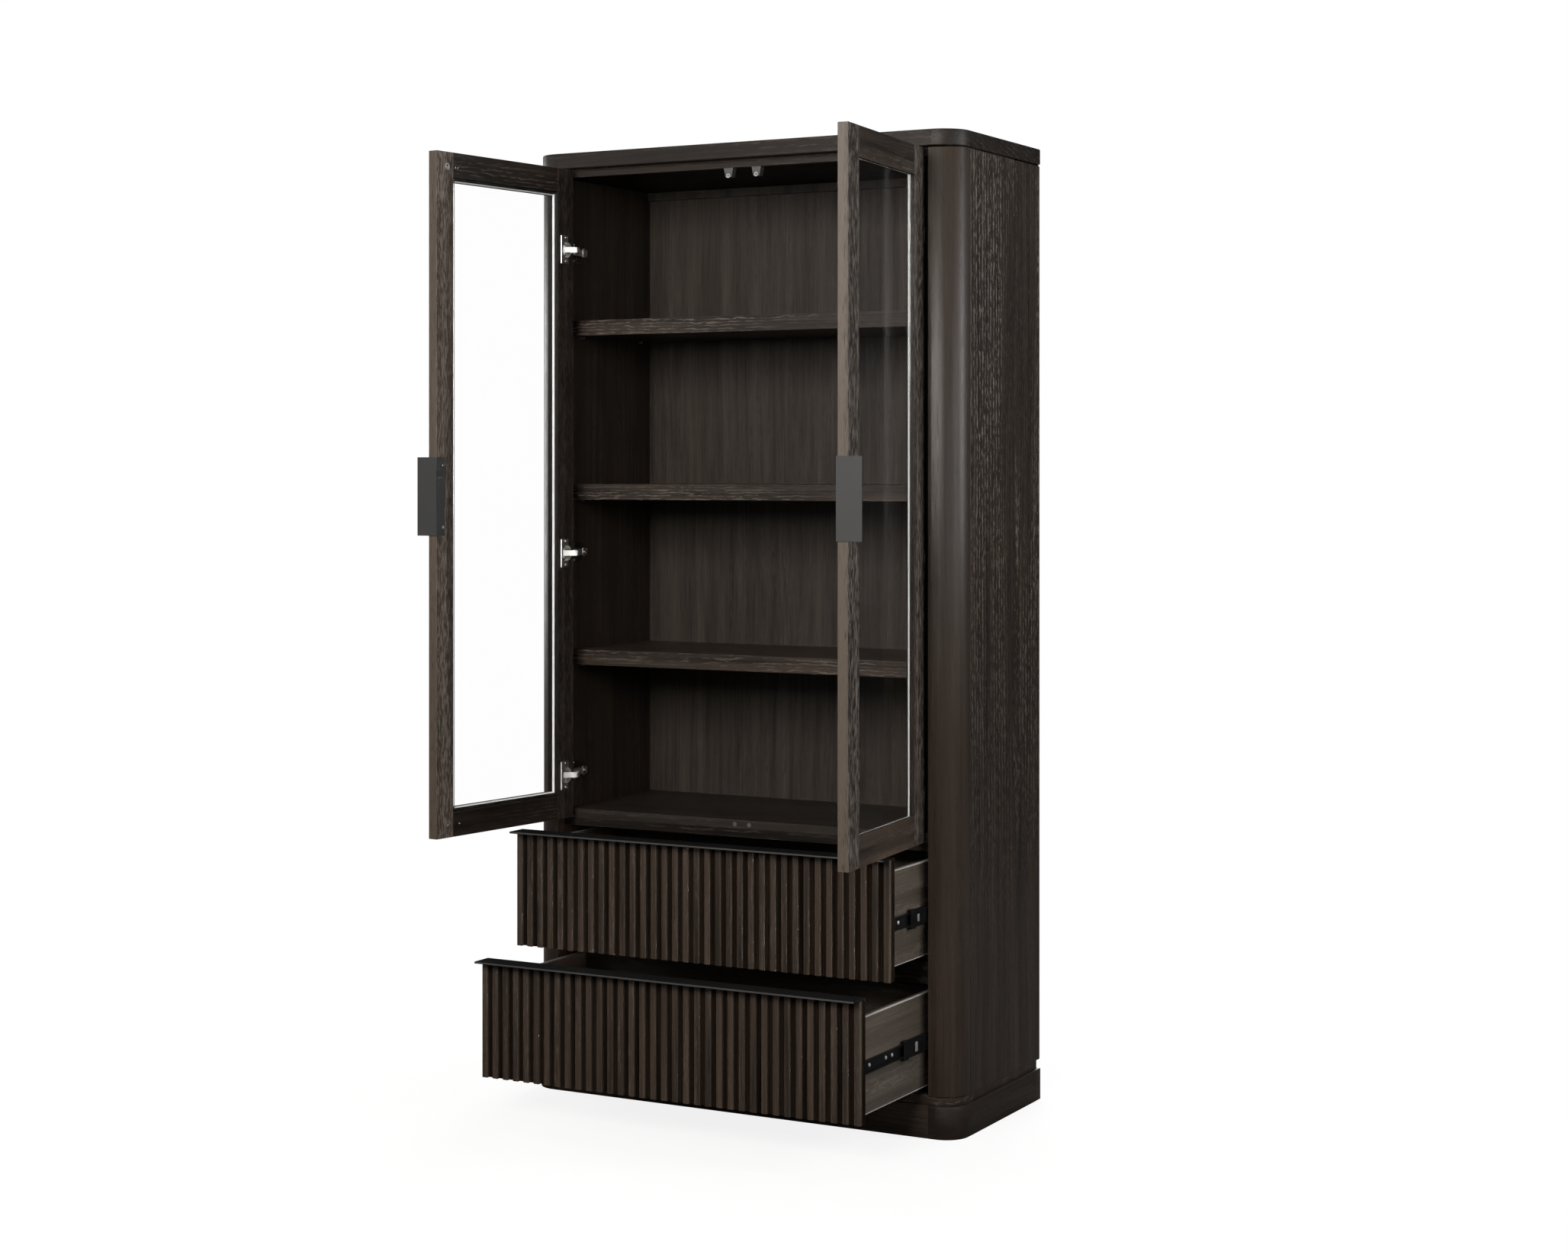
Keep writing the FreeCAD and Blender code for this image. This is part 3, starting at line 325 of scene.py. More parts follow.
def placed(add, tree, inputs):
    # a shared effect in a material, with its own values
    node = add("Group", node_tree=tree)
    fill(node, inputs)
    return node.outputs


def newMaterial(name):
    material = bpy.data.materials.new(name)
    material.use_nodes = True
    tree = material.node_tree
    tree.nodes.clear()
    add = nodeAdder(tree)
    shader = add("BsdfPrincipled")
    add("OutputMaterial", {"Surface": shader.outputs[0]})
    return material, add, shader


def shade(colour, factor, lift=0.0):
    # an opaque colour, lighter or darker than the one given
    return (*(min(1.0, c * factor + lift) for c in colour), 1)


# the doors stand open at rest; open is in degrees from closed
doorSet = {"hingeX": 425, "hingeDeep": 3, "edgeX": 433.5, "face": 3, "thick": 21,
           "open": {"left": 96.5, "right": 96.3}}


def doorTurn(word, side):
    # from the closed door to the door at rest
    hinge = at(side * doorSet["hingeX"], doorSet["hingeDeep"], 0)
    turn = Matrix.Rotation(math.radians(side * doorSet["open"][word]), 4, "Z")
    return Matrix.Translation(hinge) @ turn @ Matrix.Translation(-hinge)


def onDoor(word, side, u, t, z):
    # a point at rest: u from the hinge edge, t from the outer face
    return doorTurn(word, side) @ at(side * (doorSet["edgeX"] - u), doorSet["face"] + t, z)


def doorWay(word, side, direction):
    # a direction of the closed door as it lies at rest
    return doorTurn(word, side).to_3x3() @ Vector(direction)


# dark and light wood, the filler in its open grain, its pores, and its worn arrises, whose colour also
# paints highlights on arrises and narrow faces
woodTones = {
    "espresso": {
        "deep": (0.0088, 0.0058, 0.0041), "light": (0.0385, 0.0262, 0.0185), "line": (0.17, 0.145, 0.125),
        "pore": (0.004, 0.0028, 0.0022), "wornAndLit": (0.085, 0.066, 0.051)},
    "inside": {
        "deep": (0.0100, 0.0076, 0.0060), "light": (0.0340, 0.0275, 0.0225), "line": (0.07, 0.059, 0.050),
        "pore": (0.005, 0.0036, 0.003), "wornAndLit": (0.06, 0.049, 0.040)},
    "lining": {
        "deep": (0.0110, 0.0076, 0.0053), "light": (0.0375, 0.0275, 0.0205), "line": (0.07, 0.057, 0.046),
        "pore": (0.005, 0.0034, 0.0026), "wornAndLit": (0.06, 0.047, 0.037)},
    "drawer": {
        "deep": (0.037, 0.0285, 0.022), "light": (0.094, 0.076, 0.061), "line": (0.19, 0.165, 0.138),
        "pore": (0.016, 0.012, 0.0095), "wornAndLit": (0.25, 0.215, 0.18)},
}
woodSet = {"arris": 0.0018, "toneSpread": 0.16, "poreDark": 0.7, "poreRough": 0.15, "clouds": (0.3, 0.7),
           "roughSpread": 0.04, "bump": 0.4, "bumpDeep": 0.0004, "faceLimits": (0.4, 0.8), "turnLimit": 0.6}


def lookingAlong(add, axis):
    # 1 on faces that look along the axis, either way
    return maths(add, "ABSOLUTE", dot(add, add("NewGeometry").outputs["True Normal"], axis))


def turnedBoards(add, place):
    # boards that face along Y have their grain along X, where their neighbours' runs along Y
    share = maths(add, "GREATER_THAN", lookingAlong(add, acrossY), woodSet["turnLimit"])
    x, y, z = add("SeparateXYZ", {0: place}).outputs
    swapped = add("CombineXYZ", {0: y, 1: x, 2: z}).outputs[0]
    return add("Mix", {0: share, 4: place, 5: swapped}, data_type="VECTOR").outputs[1]


def wood(name, along=upright, tones="espresso", heart=(0.3, 0.2, 0.0), tilt=0.0, leanAxis="X", figure=0.3,
         ring=12.0, fleck=26.0, fleckAcross=140.0, gate=0.62, between=0.15, faces=None, edgeLight=0.0,
         fade=None, turned=False, wearAndHighlight=0.4, shine=0.22, rough=0.42, paintedLightLevel=1.0, contrast=1.0):
    # along is the direction of the grain; the rings centre on heart, tilt leans them into arches;
    # faces is the direction that the figured faces look in, either way, and fade the heights that the
    # figure grows over, which paints shade towards the foot; the painted highlight on the narrow faces
    # goes with faces; the deep and light tones are scaled per board to paint the light and shade it gets
    tone = {key: shade(colour, paintedLightLevel if key in ("deep", "light") else 1.0)
            for key, colour in woodTones[tones].items()}
    material, add, shader = newMaterial(name)
    place = add("TexCoord").outputs["Object"]
    if turned:
        place = turnedBoards(add, place)
    turn = Vector(along).rotation_difference(Vector(upright)).to_matrix()
    lean = Matrix.Rotation(math.radians(tilt), 3, leanAxis) @ turn
    mapping = add("Mapping", {"Vector": place, "Location": heart, "Rotation": lean.to_euler("XYZ")})
    if faces:
        share = ramp(add, lookingAlong(add, faces), *woodSet["faceLimits"])
        figure = times(add, share, figure)
    if fade:
        # less light figure towards the foot, which darkens the board there: painted shade where the light
        # falls off
        height = add("SeparateXYZ", {0: add("TexCoord").outputs["Object"]}).outputs["Z"]
        figure = times(add, ramp(add, height, *fade), figure)
    grain = placed(add, grainGroup, {
        "Vector": mapping.outputs[0], "Ring Width": ring * mm, "Fleck Rate": fleck,
        "Fleck Width": fleckAcross, "Fleck Gate": gate, "Between": between, "Figure": figure})
    wornAndLit = placed(add, wearAndHighlightGroup, {"Radius": woodSet["arris"], "Amount": wearAndHighlight})
    clouds = placed(add, patchGroup, {})["Clouds"]
    spread = woodSet["toneSpread"] / contrast
    colour = mixed(add, ramp(add, grain["Tone"], 0.5 - spread, 0.5 + spread), tone["deep"], tone["light"])
    if edgeLight:
        # painted highlight: the narrow faces of a board are made lighter than its figured ones, for the
        # light they catch
        light = times(add, maths(add, "SUBTRACT", 1.0, share), edgeLight)
        colour = mixed(add, light, colour, tone["wornAndLit"])
    colour = mixed(add, times(add, grain["Pores"], woodSet["poreDark"]), colour, tone["pore"])
    colour = mixed(add, grain["Lines"], colour, tone["line"])
    colour = mixed(add, wornAndLit["Mask"], colour, tone["wornAndLit"])
    roughSpread = woodSet["roughSpread"]
    roughness = ramp(add, clouds, *woodSet["clouds"], rough - roughSpread, rough + roughSpread)
    roughness = maths(add, "ADD", roughness, times(add, grain["Pores"], woodSet["poreRough"]))
    bump = add("Bump", {"Strength": woodSet["bump"], "Distance": woodSet["bumpDeep"],
                        "Height": grain["Height"]})
    fill(shader, {"Base Color": colour, "Roughness": roughness, "Specular IOR Level": shine,
                  "Normal": bump.outputs[0]})
    return material


# boards that come more than once; each board here and below is scaled lighter or darker to paint the light
# and shade it gets
post = dict(figure=0.0, contrast=0.6, gate=0.9, paintedLightLevel=1.22, shine=0.28, rough=0.37)
sidePanel = dict(leanAxis="Y", figure=0.75, ring=13, fleck=60, fleckAcross=190, gate=0.57, faces=acrossX,
                 fade=(0.3, 1.4), contrast=1.2, paintedLightLevel=0.9)
lining = dict(tones="lining", shine=0.15, figure=0.3)
inside = dict(tones="inside", shine=0.15)
shelf = dict(along=acrossX, ring=7, figure=0.5, contrast=1.4)
stile = dict(fleck=48, fleckAcross=330, between=0.8, faces=acrossX)

woodPieces = {
    "top_slab": dict(along=acrossX, heart=(0.1, 0.6, 2.2), figure=0.15, paintedLightLevel=0.5),
    "slab_spacer": dict(along=acrossX),
    "left_corner_post": dict(post, heart=(0.8, 0.5, 0)),
    "right_corner_post": dict(post, heart=(-0.75, 0.6, 0)),
    "left_side_panel": dict(sidePanel, heart=(0.46, -0.09, 0), tilt=1.2),
    "right_side_panel": dict(sidePanel, heart=(-0.46, -0.09, 0), tilt=-1.2),
    "left_side_lining": dict(lining, heart=(0.3, 0.1, 0)),
    "right_side_lining": dict(lining, heart=(-0.3, 0.1, 0)),
    "back_panel": dict(inside, heart=(0.02, 0.05, 0), tilt=1.3, figure=0.15, ring=14, paintedLightLevel=1.35),
    # the back trim's light arris line is a painted highlight
    "back_trim": dict(inside, heart=(0.4, 0.4, 0), figure=0.1, wearAndHighlight=1.0),
    "base_plate": dict(along=acrossX),
    "plinth_front_board": dict(along=acrossX, heart=(0.3, 0.4, 0), figure=0.15, paintedLightLevel=1.4),
    "plinth_back_board": dict(along=acrossX, heart=(0.3, 0.3, 0), figure=0.15),
    "plinth_corners": dict(along=acrossX, heart=(0.2, 0.35, 0), figure=0.0, gate=0.9, contrast=0.6,
                           paintedLightLevel=0.58),
    "plinth_side_boards": dict(along=acrossY, heart=(0.3, 0.4, 0), figure=0.15, paintedLightLevel=0.7),
    "plinth_brace": dict(along=acrossY),
    "side_battens": dict(along=acrossY),
    # the ceiling is darkened: painted shade
    "top_panel": dict(inside, along=acrossX, shine=0.05, heart=(0.1, 0.5, 1.7), paintedLightLevel=0.2),
    "floor_panel": dict(inside, along=acrossX, heart=(0.1, 0.3, 0.4), paintedLightLevel=0.8),
    "top_rail": dict(along=acrossX, heart=(0.2, 0.4, 1.6), paintedLightLevel=0.6),
    # the rails between the drawers are darkened: painted shade
    "drawer_rails": dict(inside, along=acrossX, shine=0.05, heart=(0.2, 0.4, 0.4), paintedLightLevel=0.5),
    "lower_shelf_board": dict(shelf, heart=(0.2, 0.4, 0.7), paintedLightLevel=1.0),
    "middle_shelf_board": dict(shelf, heart=(0.2, 0.3, 1.0), paintedLightLevel=0.95),
    "upper_shelf_board": dict(shelf, heart=(0.2, 0.5, 1.3), paintedLightLevel=0.75),
    "slide_packers": dict(along=acrossY),
}
# where the two doors' boards differ: they are scaled lighter or darker to paint light and shade, the left
# door's hinge stile and rails darkened for the shade they stand in and its free stile lightened for the
# light it catches
doorBoards = {
    # the free stiles' narrow faces take a painted highlight
    "left": {"hingeStile": dict(figure=0.2, paintedLightLevel=0.4), "freeStile": dict(edgeLight=0.6, paintedLightLevel=1.75),
             "rails": dict(paintedLightLevel=0.5)},
    "right": {"hingeStile": dict(figure=0.9, paintedLightLevel=0.8), "freeStile": dict(edgeLight=0.9, paintedLightLevel=0.7),
              "rails": dict(paintedLightLevel=1.2)},
}
for word, side in sides:
    own = doorBoards[word]
    woodPieces[word + "_door_hinge_stile"] = dict(stile, heart=(-side * 0.45, 0.25, 0), ring=22, gate=0.5,
                                                  **own["hingeStile"])
    woodPieces[word + "_door_free_stile"] = dict(stile, heart=(-side * 0.45, 0.6, 0), figure=1.0, ring=24,
                                                 gate=0.49, **own["freeStile"])
    # the rails' grain follows the open door; their light arrises are partly wear, partly a painted highlight
    woodPieces[word + "_door_rails"] = dict(along=doorWay(word, side, acrossX), heart=(0.3, 0.4, 0), ring=8,
                                            gate=0.6, wearAndHighlight=1.0, contrast=1.5, **own["rails"])
for word in drawers:
    # the slats' side faces take a painted highlight
    woodPieces[word + "_drawer_slats"] = dict(heart=(0.2, 0.8, 0), figure=0.15, ring=5, wearAndHighlight=0.5,
                                              contrast=1.4, paintedLightLevel=1.25, faces=acrossY, edgeLight=0.5)
    # the front board seen in the gaps between the slats is darkened: painted shade
    woodPieces[word + "_drawer_front"] = dict(heart=(0.3, 0.9, 0), figure=0.0, paintedLightLevel=0.4, shine=0.0)
    # the box's light arrises are partly wear, partly a painted highlight
    woodPieces[word + "_drawer_box"] = dict(along=acrossY, tones="drawer", turned=True, wearAndHighlight=0.9,
                                            contrast=1.3, paintedLightLevel=0.8)
    # the drawer bottom is lightened: painted light where it is seen over the front
    woodPieces[word + "_drawer_bottom"] = dict(along=acrossX, tones="drawer", paintedLightLevel=2.6)


metalSet = {"cloudSize": 14.0, "fine": 1600.0, "arris": 0.0008, "dark": 0.86, "bright": 1.12,
            "rubbed": (2.2, 0.05), "clouds": (0.3, 0.7), "bump": 0.3}


def metal(name, colour, rough, metallic=1.0, spread=0.04, bumpSize=0.00005, wearAndHighlight=0.0, specular=0.5):
    # plated or coated metal, and moulded plastic with metallic 0
    material, add, shader = newMaterial(name)
    patches = placed(add, patchGroup, {"Size": metalSet["cloudSize"], "Fine": metalSet["fine"]})
    wornAndLit = placed(add, wearAndHighlightGroup, {"Radius": metalSet["arris"], "Amount": wearAndHighlight})
    tint = mixed(add, patches["Clouds"], shade(colour, metalSet["dark"]), shade(colour, metalSet["bright"]))
    tint = mixed(add, wornAndLit["Mask"], tint, shade(colour, *metalSet["rubbed"]))
    roughness = ramp(add, patches["Clouds"], *metalSet["clouds"], rough - spread, rough + spread)
    bump = add("Bump", {"Strength": metalSet["bump"], "Distance": bumpSize, "Height": patches["Specks"]})
    fill(shader, {"Base Color": tint, "Roughness": roughness, "Metallic": metallic,
                  "Specular IOR Level": specular, "Normal": bump.outputs[0]})
    return material


clearSet = {"fine": 300.0, "clouds": (0.35, 0.75)}


def clear(name, dark, light, rough, ior, size, specular=0.5):
    # glass or clear plastic, with a faint change of tint and gloss over the surface
    material, add, shader = newMaterial(name)
    patches = placed(add, patchGroup, {"Size": size, "Fine": clearSet["fine"]})
    roughness = ramp(add, patches["Clouds"], *clearSet["clouds"], *rough)
    colour = mixed(add, patches["Clouds"], (*dark, 1), (*light, 1))
    fill(shader, {"Base Color": colour, "Roughness": roughness, "Transmission Weight": 1.0, "IOR": ior,
                  "Specular IOR Level": specular})
    return material


finishes = {
    "glass": clear("clearGlass", (0.992, 0.996, 0.994), (0.998, 0.999, 0.998), (0.0, 0.001), 1.12, 2.0),
    "clear_plastic": clear("glazingStrip", (0.86, 0.87, 0.86), (0.97, 0.97, 0.965), (0.06, 0.2), 1.46, 40.0),
    "nickel": metal("nickelPlate", (0.64, 0.63, 0.61), 0.32, wearAndHighlight=0.3),
    "linkNickel": metal("linkNickel", (0.78, 0.77, 0.75), 0.42, spread=0.02, wearAndHighlight=0.2),
    "plateNickel": metal("plateNickel", (0.07, 0.066, 0.062), 0.4, wearAndHighlight=0.3),
    # milky white that paints the light seen through the clear glazing strip
    "lipPaintedWhite": metal("lipPaintedWhite", (0.7, 0.7, 0.69), 0.3, metallic=0.0, bumpSize=0.0002),
    "dark_metal": metal("powderCoat", (0.027, 0.027, 0.0275), 0.5, metallic=0.0, bumpSize=0.0002, wearAndHighlight=0.2,
                        specular=0.25),
    "black_steel": metal("blackZinc", (0.005, 0.005, 0.0055), 0.34, metallic=0.0, wearAndHighlight=0.3, specular=0.02),
    "black_plastic": metal("greyPlastic", (0.06, 0.06, 0.062), 0.45, metallic=0.0, bumpSize=0.0001,
                           wearAndHighlight=0.2),
    "screwSteel": metal("screwSteel", (0.5, 0.49, 0.47), 0.26, wearAndHighlight=0.5),
    "pullCoat": metal("pullCoat", (0.007, 0.007, 0.007), 0.6, metallic=0.0, bumpSize=0.0002, wearAndHighlight=0.2,
                      specular=0.01),
    # light paint for the highlight strips on the drawers' arrises
    "edgeBand": metal("edgeBand", (0.34, 0.32, 0.29), 0.5, metallic=0.0, bumpSize=0.0002),
    # a little lighter than the pull, for the painted highlight on its edge
    "edgeCoat": metal("edgeCoat", (0.03, 0.029, 0.028), 0.5, metallic=0.0, bumpSize=0.0001),
    "dustFelt": metal("dustFelt", (0.003, 0.003, 0.003), 0.9, metallic=0.0, specular=0.0),
    "blackMoulding": metal("blackMoulding", (0.01, 0.01, 0.01), 0.5, metallic=0.0, wearAndHighlight=0.2, specular=0.3),
}
# nodes with a finish of their own; the others take the one named as their slot
nodeFinish = {"lower_drawer_pull": "pullCoat", "upper_drawer_pull": "pullCoat",
              "hinge_plates": "plateNickel"}


def dressNodes():
    for name, node in nodes.items():
        slotName = node.material_slots[0].name.split(".")[0]
        if name in woodPieces:
            finish = wood(name + "_oak", **woodPieces[name])
        else:
            finish = finishes[nodeFinish.get(name, slotName)]
        node.material_slots[0].material = finish


# widths in mm, angles in degrees
softEdges = {"wood": 0.9, "metal": 0.35, "weld": 0.01, "sharpNode": 40, "sharpPiece": 32}


def softenArrises():
    # a small round on every sharp edge of the carried-over pieces
    for name, node in nodes.items():
        if "glass" in name or "slides" in name or "beads" in name:
            continue
        weld = node.modifiers.new("weld", "WELD")
        weld.merge_threshold = softEdges["weld"] * mm
        bevel = node.modifiers.new("arris", "BEVEL")
        bevel.width = softEdges["wood" if name in woodPieces else "metal"] * mm
        bevel.segments = 2
        bevel.limit_method = "ANGLE"
        bevel.angle_limit = math.radians(softEdges["sharpNode"])
        bevel.use_clamp_overlap = True


def newPiece(name, bm, finish):
    mesh = bpy.data.meshes.new(name)
    bmesh.ops.recalc_face_normals(bm, faces=bm.faces)
    bm.to_mesh(mesh)
    bm.free()
    mesh.materials.append(finishes[finish])
    mesh.shade_smooth()
    mesh.set_sharp_from_angle(angle=math.radians(softEdges["sharpPiece"]))
    piece = bpy.data.objects.new(name, mesh)
    bpy.context.collection.objects.link(piece)
    return piece


def facing(place, axis, spin=0.0):
    # a frame at a place whose Z points along axis
    turn = Vector(axis).to_track_quat("Z", "Y").to_matrix().to_4x4()
    return Matrix.Translation(place) @ turn @ Matrix.Rotation(spin, 4, "Z")


quarterTurn = Matrix.Rotation(math.pi / 2, 4, "Z")


def ringOf(bm, pose, radius, height, count):
    step = 2 * math.pi / count
    return [bm.verts.new(pose @ Vector((radius * math.cos(step * n), radius * math.sin(step * n), height)))
            for n in range(count)]


def bridge(bm, low, high):
    count = len(low)
    for n in range(count):
        bm.faces.new((low[n], low[(n + 1) % count], high[(n + 1) % count], high[n]))


def turnedRings(bm, pose, profile, count=24):
    # a turned shape from (radius, height) pairs in mm; gives back its first and last ring
    rings = [ringOf(bm, pose, radius * mm, height * mm, count) for radius, height in profile]
    for low, high in zip(rings, rings[1:]):
        bridge(bm, low, high)
    return rings[0], rings[-1]


def extruded(bm, low, high):
    # a solid between two outlines with equally many places
    ends = [[bm.verts.new(place) for place in outline] for outline in (low, high)]
    bridge(bm, *ends)
    for end in ends:
        bm.faces.new(end)


# shares of the head's radius and rise; sink is in mm
screwSet = {"sink": 0.3, "sides": 20, "dome": ((1.0, 0.35), (0.94, 0.7), (0.8, 0.93), (0.68, 1.0)),
            "cross": 0.9, "arm": 0.62, "half": 0.17, "taper": 0.8, "deep": 0.7}


def crossRecess(bm, pose, rim, radius, top, deep):
    # closes a ring with a cross-shaped recess
    arm, half, taper = screwSet["arm"] * radius, screwSet["half"] * radius, screwSet["taper"]
    corners = [(arm, half), (half, half), (half, arm), (-half, arm), (-half, half), (-arm, half),
               (-arm, -half), (-half, -half), (-half, -arm), (half, -arm), (half, -half), (arm, -half)]
    upper = [bm.verts.new(pose @ Vector((x * mm, y * mm, top * mm))) for x, y in corners]
    lower = [bm.verts.new(pose @ Vector((taper * x * mm, taper * y * mm, (top - deep) * mm)))
             for x, y in corners]
    bridge(bm, lower, upper)
    bm.faces.new(lower)
    loops = []
    for chain in (rim, upper):
        for n in range(len(chain)):
            first, second = chain[n], chain[(n + 1) % len(chain)]
            loops.append(bm.edges.get((first, second)) or bm.edges.new((first, second)))
    bmesh.ops.triangle_fill(bm, use_beauty=True, edges=loops)


def screw(bm, place, axis, radius, rise, spin):
    # a round head with a cross recess
    pose = facing(place, axis, spin)
    profile = [(radius, -screwSet["sink"])] + [(out * radius, up * rise) for out, up in screwSet["dome"]]
    foot, rim = turnedRings(bm, pose, profile, screwSet["sides"])
    crossRecess(bm, pose, rim, screwSet["cross"] * radius, rise, screwSet["deep"] * rise)
    bm.faces.new(foot)


def plate(bm, pose, width, height, thick, corner, ease=0.3, steps=5):
    # a flat plate with round corners and an eased top arris, in mm
    def loop(shrink, z):
        points = []
        for sx, sy, start in ((1, 1, 0), (-1, 1, 90), (-1, -1, 180), (1, -1, 270)):
            for n in range(steps + 1):
                angle = math.radians(start + 90 * n / steps)
                reach = corner - shrink
                points.append((sx * (width / 2 - corner) + reach * math.cos(angle),
                               sy * (height / 2 - corner) + reach * math.sin(angle)))
        return [bm.verts.new(pose @ Vector((x * mm, y * mm, z * mm))) for x, y in points]
    foot, arris, top = loop(0.0, 0.0), loop(0.0, thick - ease), loop(min(ease, 0.9 * corner), thick)
    bridge(bm, foot, arris)
    bridge(bm, arris, top)
    bm.faces.new(foot)
    bm.faces.new(top)


def smoothPath(points, steps):
    # Catmull-Rom through the points
    padded = [2 * points[0] - points[1]] + points + [2 * points[-1] - points[-2]]
    line = []
    for n in range(len(points) - 1):
        a, b, c, d = padded[n:n + 4]
        for k in range(steps // (len(points) - 1)):
            s = k * (len(points) - 1) / steps
            line.append(0.5 * (2 * b + (c - a) * s + (2 * a - 5 * b + 4 * c - d) * s * s
                               + (3 * b - a - 3 * c + d) * s ** 3))
    line.append(points[-1])
    return line


def strip(bm, path, half, thick, z, steps=28):
    # a bent strip of sheet that stands upright on a smooth path through the points (x, y)
    line = smoothPath(path, steps)
    rows = []
    for n, point in enumerate(line):
        ahead = line[min(n + 1, len(line) - 1)] - line[max(n - 1, 0)]
        across = Vector((-ahead.y, ahead.x, 0)).normalized() * thick * mm / 2
        lift = Vector((0, 0, half * mm))
        middle = Vector((point.x, point.y, z * mm))
        rows.append([bm.verts.new(middle + across - lift), bm.verts.new(middle + across + lift),
                     bm.verts.new(middle - across + lift), bm.verts.new(middle - across - lift)])
    for low, high in zip(rows, rows[1:]):
        bridge(bm, low, high)
    bm.faces.new(rows[0])
    bm.faces.new(rows[-1])


spinSeeds = {"cups": 11, "arms": 21, "doors": 31, "slides": 41, "fronts": 51, "back": 61, "brackets": 71}


def spins(group, side=0):
    # screw heads all stop at different angles
    source = random.Random(spinSeeds[group] + side)
    while True:
        yield source.uniform(0, math.pi / 2)


# a screw is its head's radius and rise; pins are places on the door as u and t
hingeSet = {"heights": (676, 1148, 1793), "flangeTop": 22.2, "flangeScrews": (25.4, 25.0),
            "screw": (3.4, 1.5), "pins": ((20.0, 14.0), (27.0, 15.5)), "pinFoot": -11,
            "pinProfile": [(1.1, 0), (1.5, 0.5), (1.5, 21.5), (1.1, 22)]}


def cupScrews(word, side):
    bm = bmesh.new()
    turns = spins("cups", side)
    inward = doorWay(word, side, acrossY)
    u, apart = hingeSet["flangeScrews"]
    for height in hingeSet["heights"]:
        for lift in (-apart, apart):
            screw(bm, onDoor(word, side, u, hingeSet["flangeTop"], height + lift), inward,
                  *hingeSet["screw"], next(turns))
    piece = newPiece(word + "_cup_screws", bm, "screwSteel")
    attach(piece, word + "_door")


def cupPins(word, side):
    # the two upright pins that the links turn on, inside each cup
    bm = bmesh.new()
    for height in hingeSet["heights"]:
        for u, t in hingeSet["pins"]:
            pose = facing(onDoor(word, side, u, t, height + hingeSet["pinFoot"]), upright)
            low, high = turnedRings(bm, pose, hingeSet["pinProfile"], count=12)
            bm.faces.new(low)
            bm.faces.new(high)
    piece = newPiece(word + "_cup_pins", bm, "screwSteel")
    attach(piece, word + "_door")


# each link's half height, its places on the carcass (x, deep) and its places on the door (u, t);
# start and end, places at the two ends of the bend, are not used
linkSet = {"links": ((3.2, [(416, 27.5), (405.5, 21), (400.2, 9)], [(14.5, 25.0), (20.0, 14.5)]),
                     (5.6, [(409.5, 28.5), (395, 20), (388.5, 3)], [(15.5, 25.5), (26.9, 15.2)])),
           "sheet": 1.9, "start": (414, 27.5), "end": (22, 24)}


def linkPath(word, side, carcassPoints, doorPoints):
    # from the arm's head round the door's edge into the cup
    path = [at(side * x, deep, 0) for x, deep in carcassPoints]
    path += [onDoor(word, side, u, t, 0) for u, t in doorPoints]
    return path


def hingeLinks(word, side):
    # links curve from the carcass round the door's edge into the cup, as they stand at rest
    bm = bmesh.new()
    for height in hingeSet["heights"]:
        for half, carcassPoints, doorPoints in linkSet["links"]:
            strip(bm, linkPath(word, side, carcassPoints, doorPoints), half, linkSet["sheet"], height)
    piece = newPiece(word + "_hinge_links", bm, "linkNickel")
    middle = hingeSet["heights"][1]
    end = onDoor(word, side, *linkSet["end"], middle)
    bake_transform(piece)


armSet = {"face": 424, "plate": (10.0, 21.0, 0.7, 2.5), "plateDeep": 83.5, "rearDeep": 86.5,
          "rearScrew": (4.0, 1.6), "midDeep": 59, "midScrew": (3.3, 1.2), "wingX": 438, "wingDeep": 66,
          "wingScrews": 17.2}


def armDetails(word, side):
    # each arm's rear plate and adjusting screws, and the screws in its wings
    bm = bmesh.new()
    turns = spins("arms", side)
    inward = Vector((-side, 0, 0))
    face = armSet["face"]
    thick = armSet["plate"][2]
    for height in hingeSet["heights"]:
        plate(bm, facing(at(side * face, armSet["plateDeep"], height), inward), *armSet["plate"])
        rear = at(side * (face - thick), armSet["rearDeep"], height)
        screw(bm, rear, inward, *armSet["rearScrew"], next(turns))
        screw(bm, at(side * face, armSet["midDeep"], height), inward, *armSet["midScrew"], next(turns))
        for lift in (-armSet["wingScrews"], armSet["wingScrews"]):
            place = at(side * armSet["wingX"], armSet["wingDeep"], height + lift)
            screw(bm, place, inward, *hingeSet["screw"], next(turns))
    piece = newPiece(word + "_arm_screws", bm, "screwSteel")
    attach(piece, "carcass")


lipSet = {"u": 40.3, "half": 1.9, "rise": 1.5, "sink": 0.4, "reach": 29.5, "steps": 8}


def flangeLips(word, side):
    # the rolled edge of each cup's flange, towards the glass
    bm = bmesh.new()
    foot = hingeSet["flangeTop"] - lipSet["sink"]
    tall = lipSet["rise"] + lipSet["sink"]
    angles = [math.pi * n / lipSet["steps"] for n in range(lipSet["steps"] + 1)]
    section = [(lipSet["u"] + lipSet["half"] * math.cos(angle), foot + tall * math.sin(angle))
               for angle in angles]
    for height in hingeSet["heights"]:
        ends = (height - lipSet["reach"], height + lipSet["reach"])
        extruded(bm, *[[onDoor(word, side, u, t, z) for u, t in section] for z in ends])
    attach(newPiece(word + "_flange_lips", bm, "linkNickel"), word + "_door")


glazeSet = {"left": 59, "right": 370, "low": 643.7, "high": 1905.5}
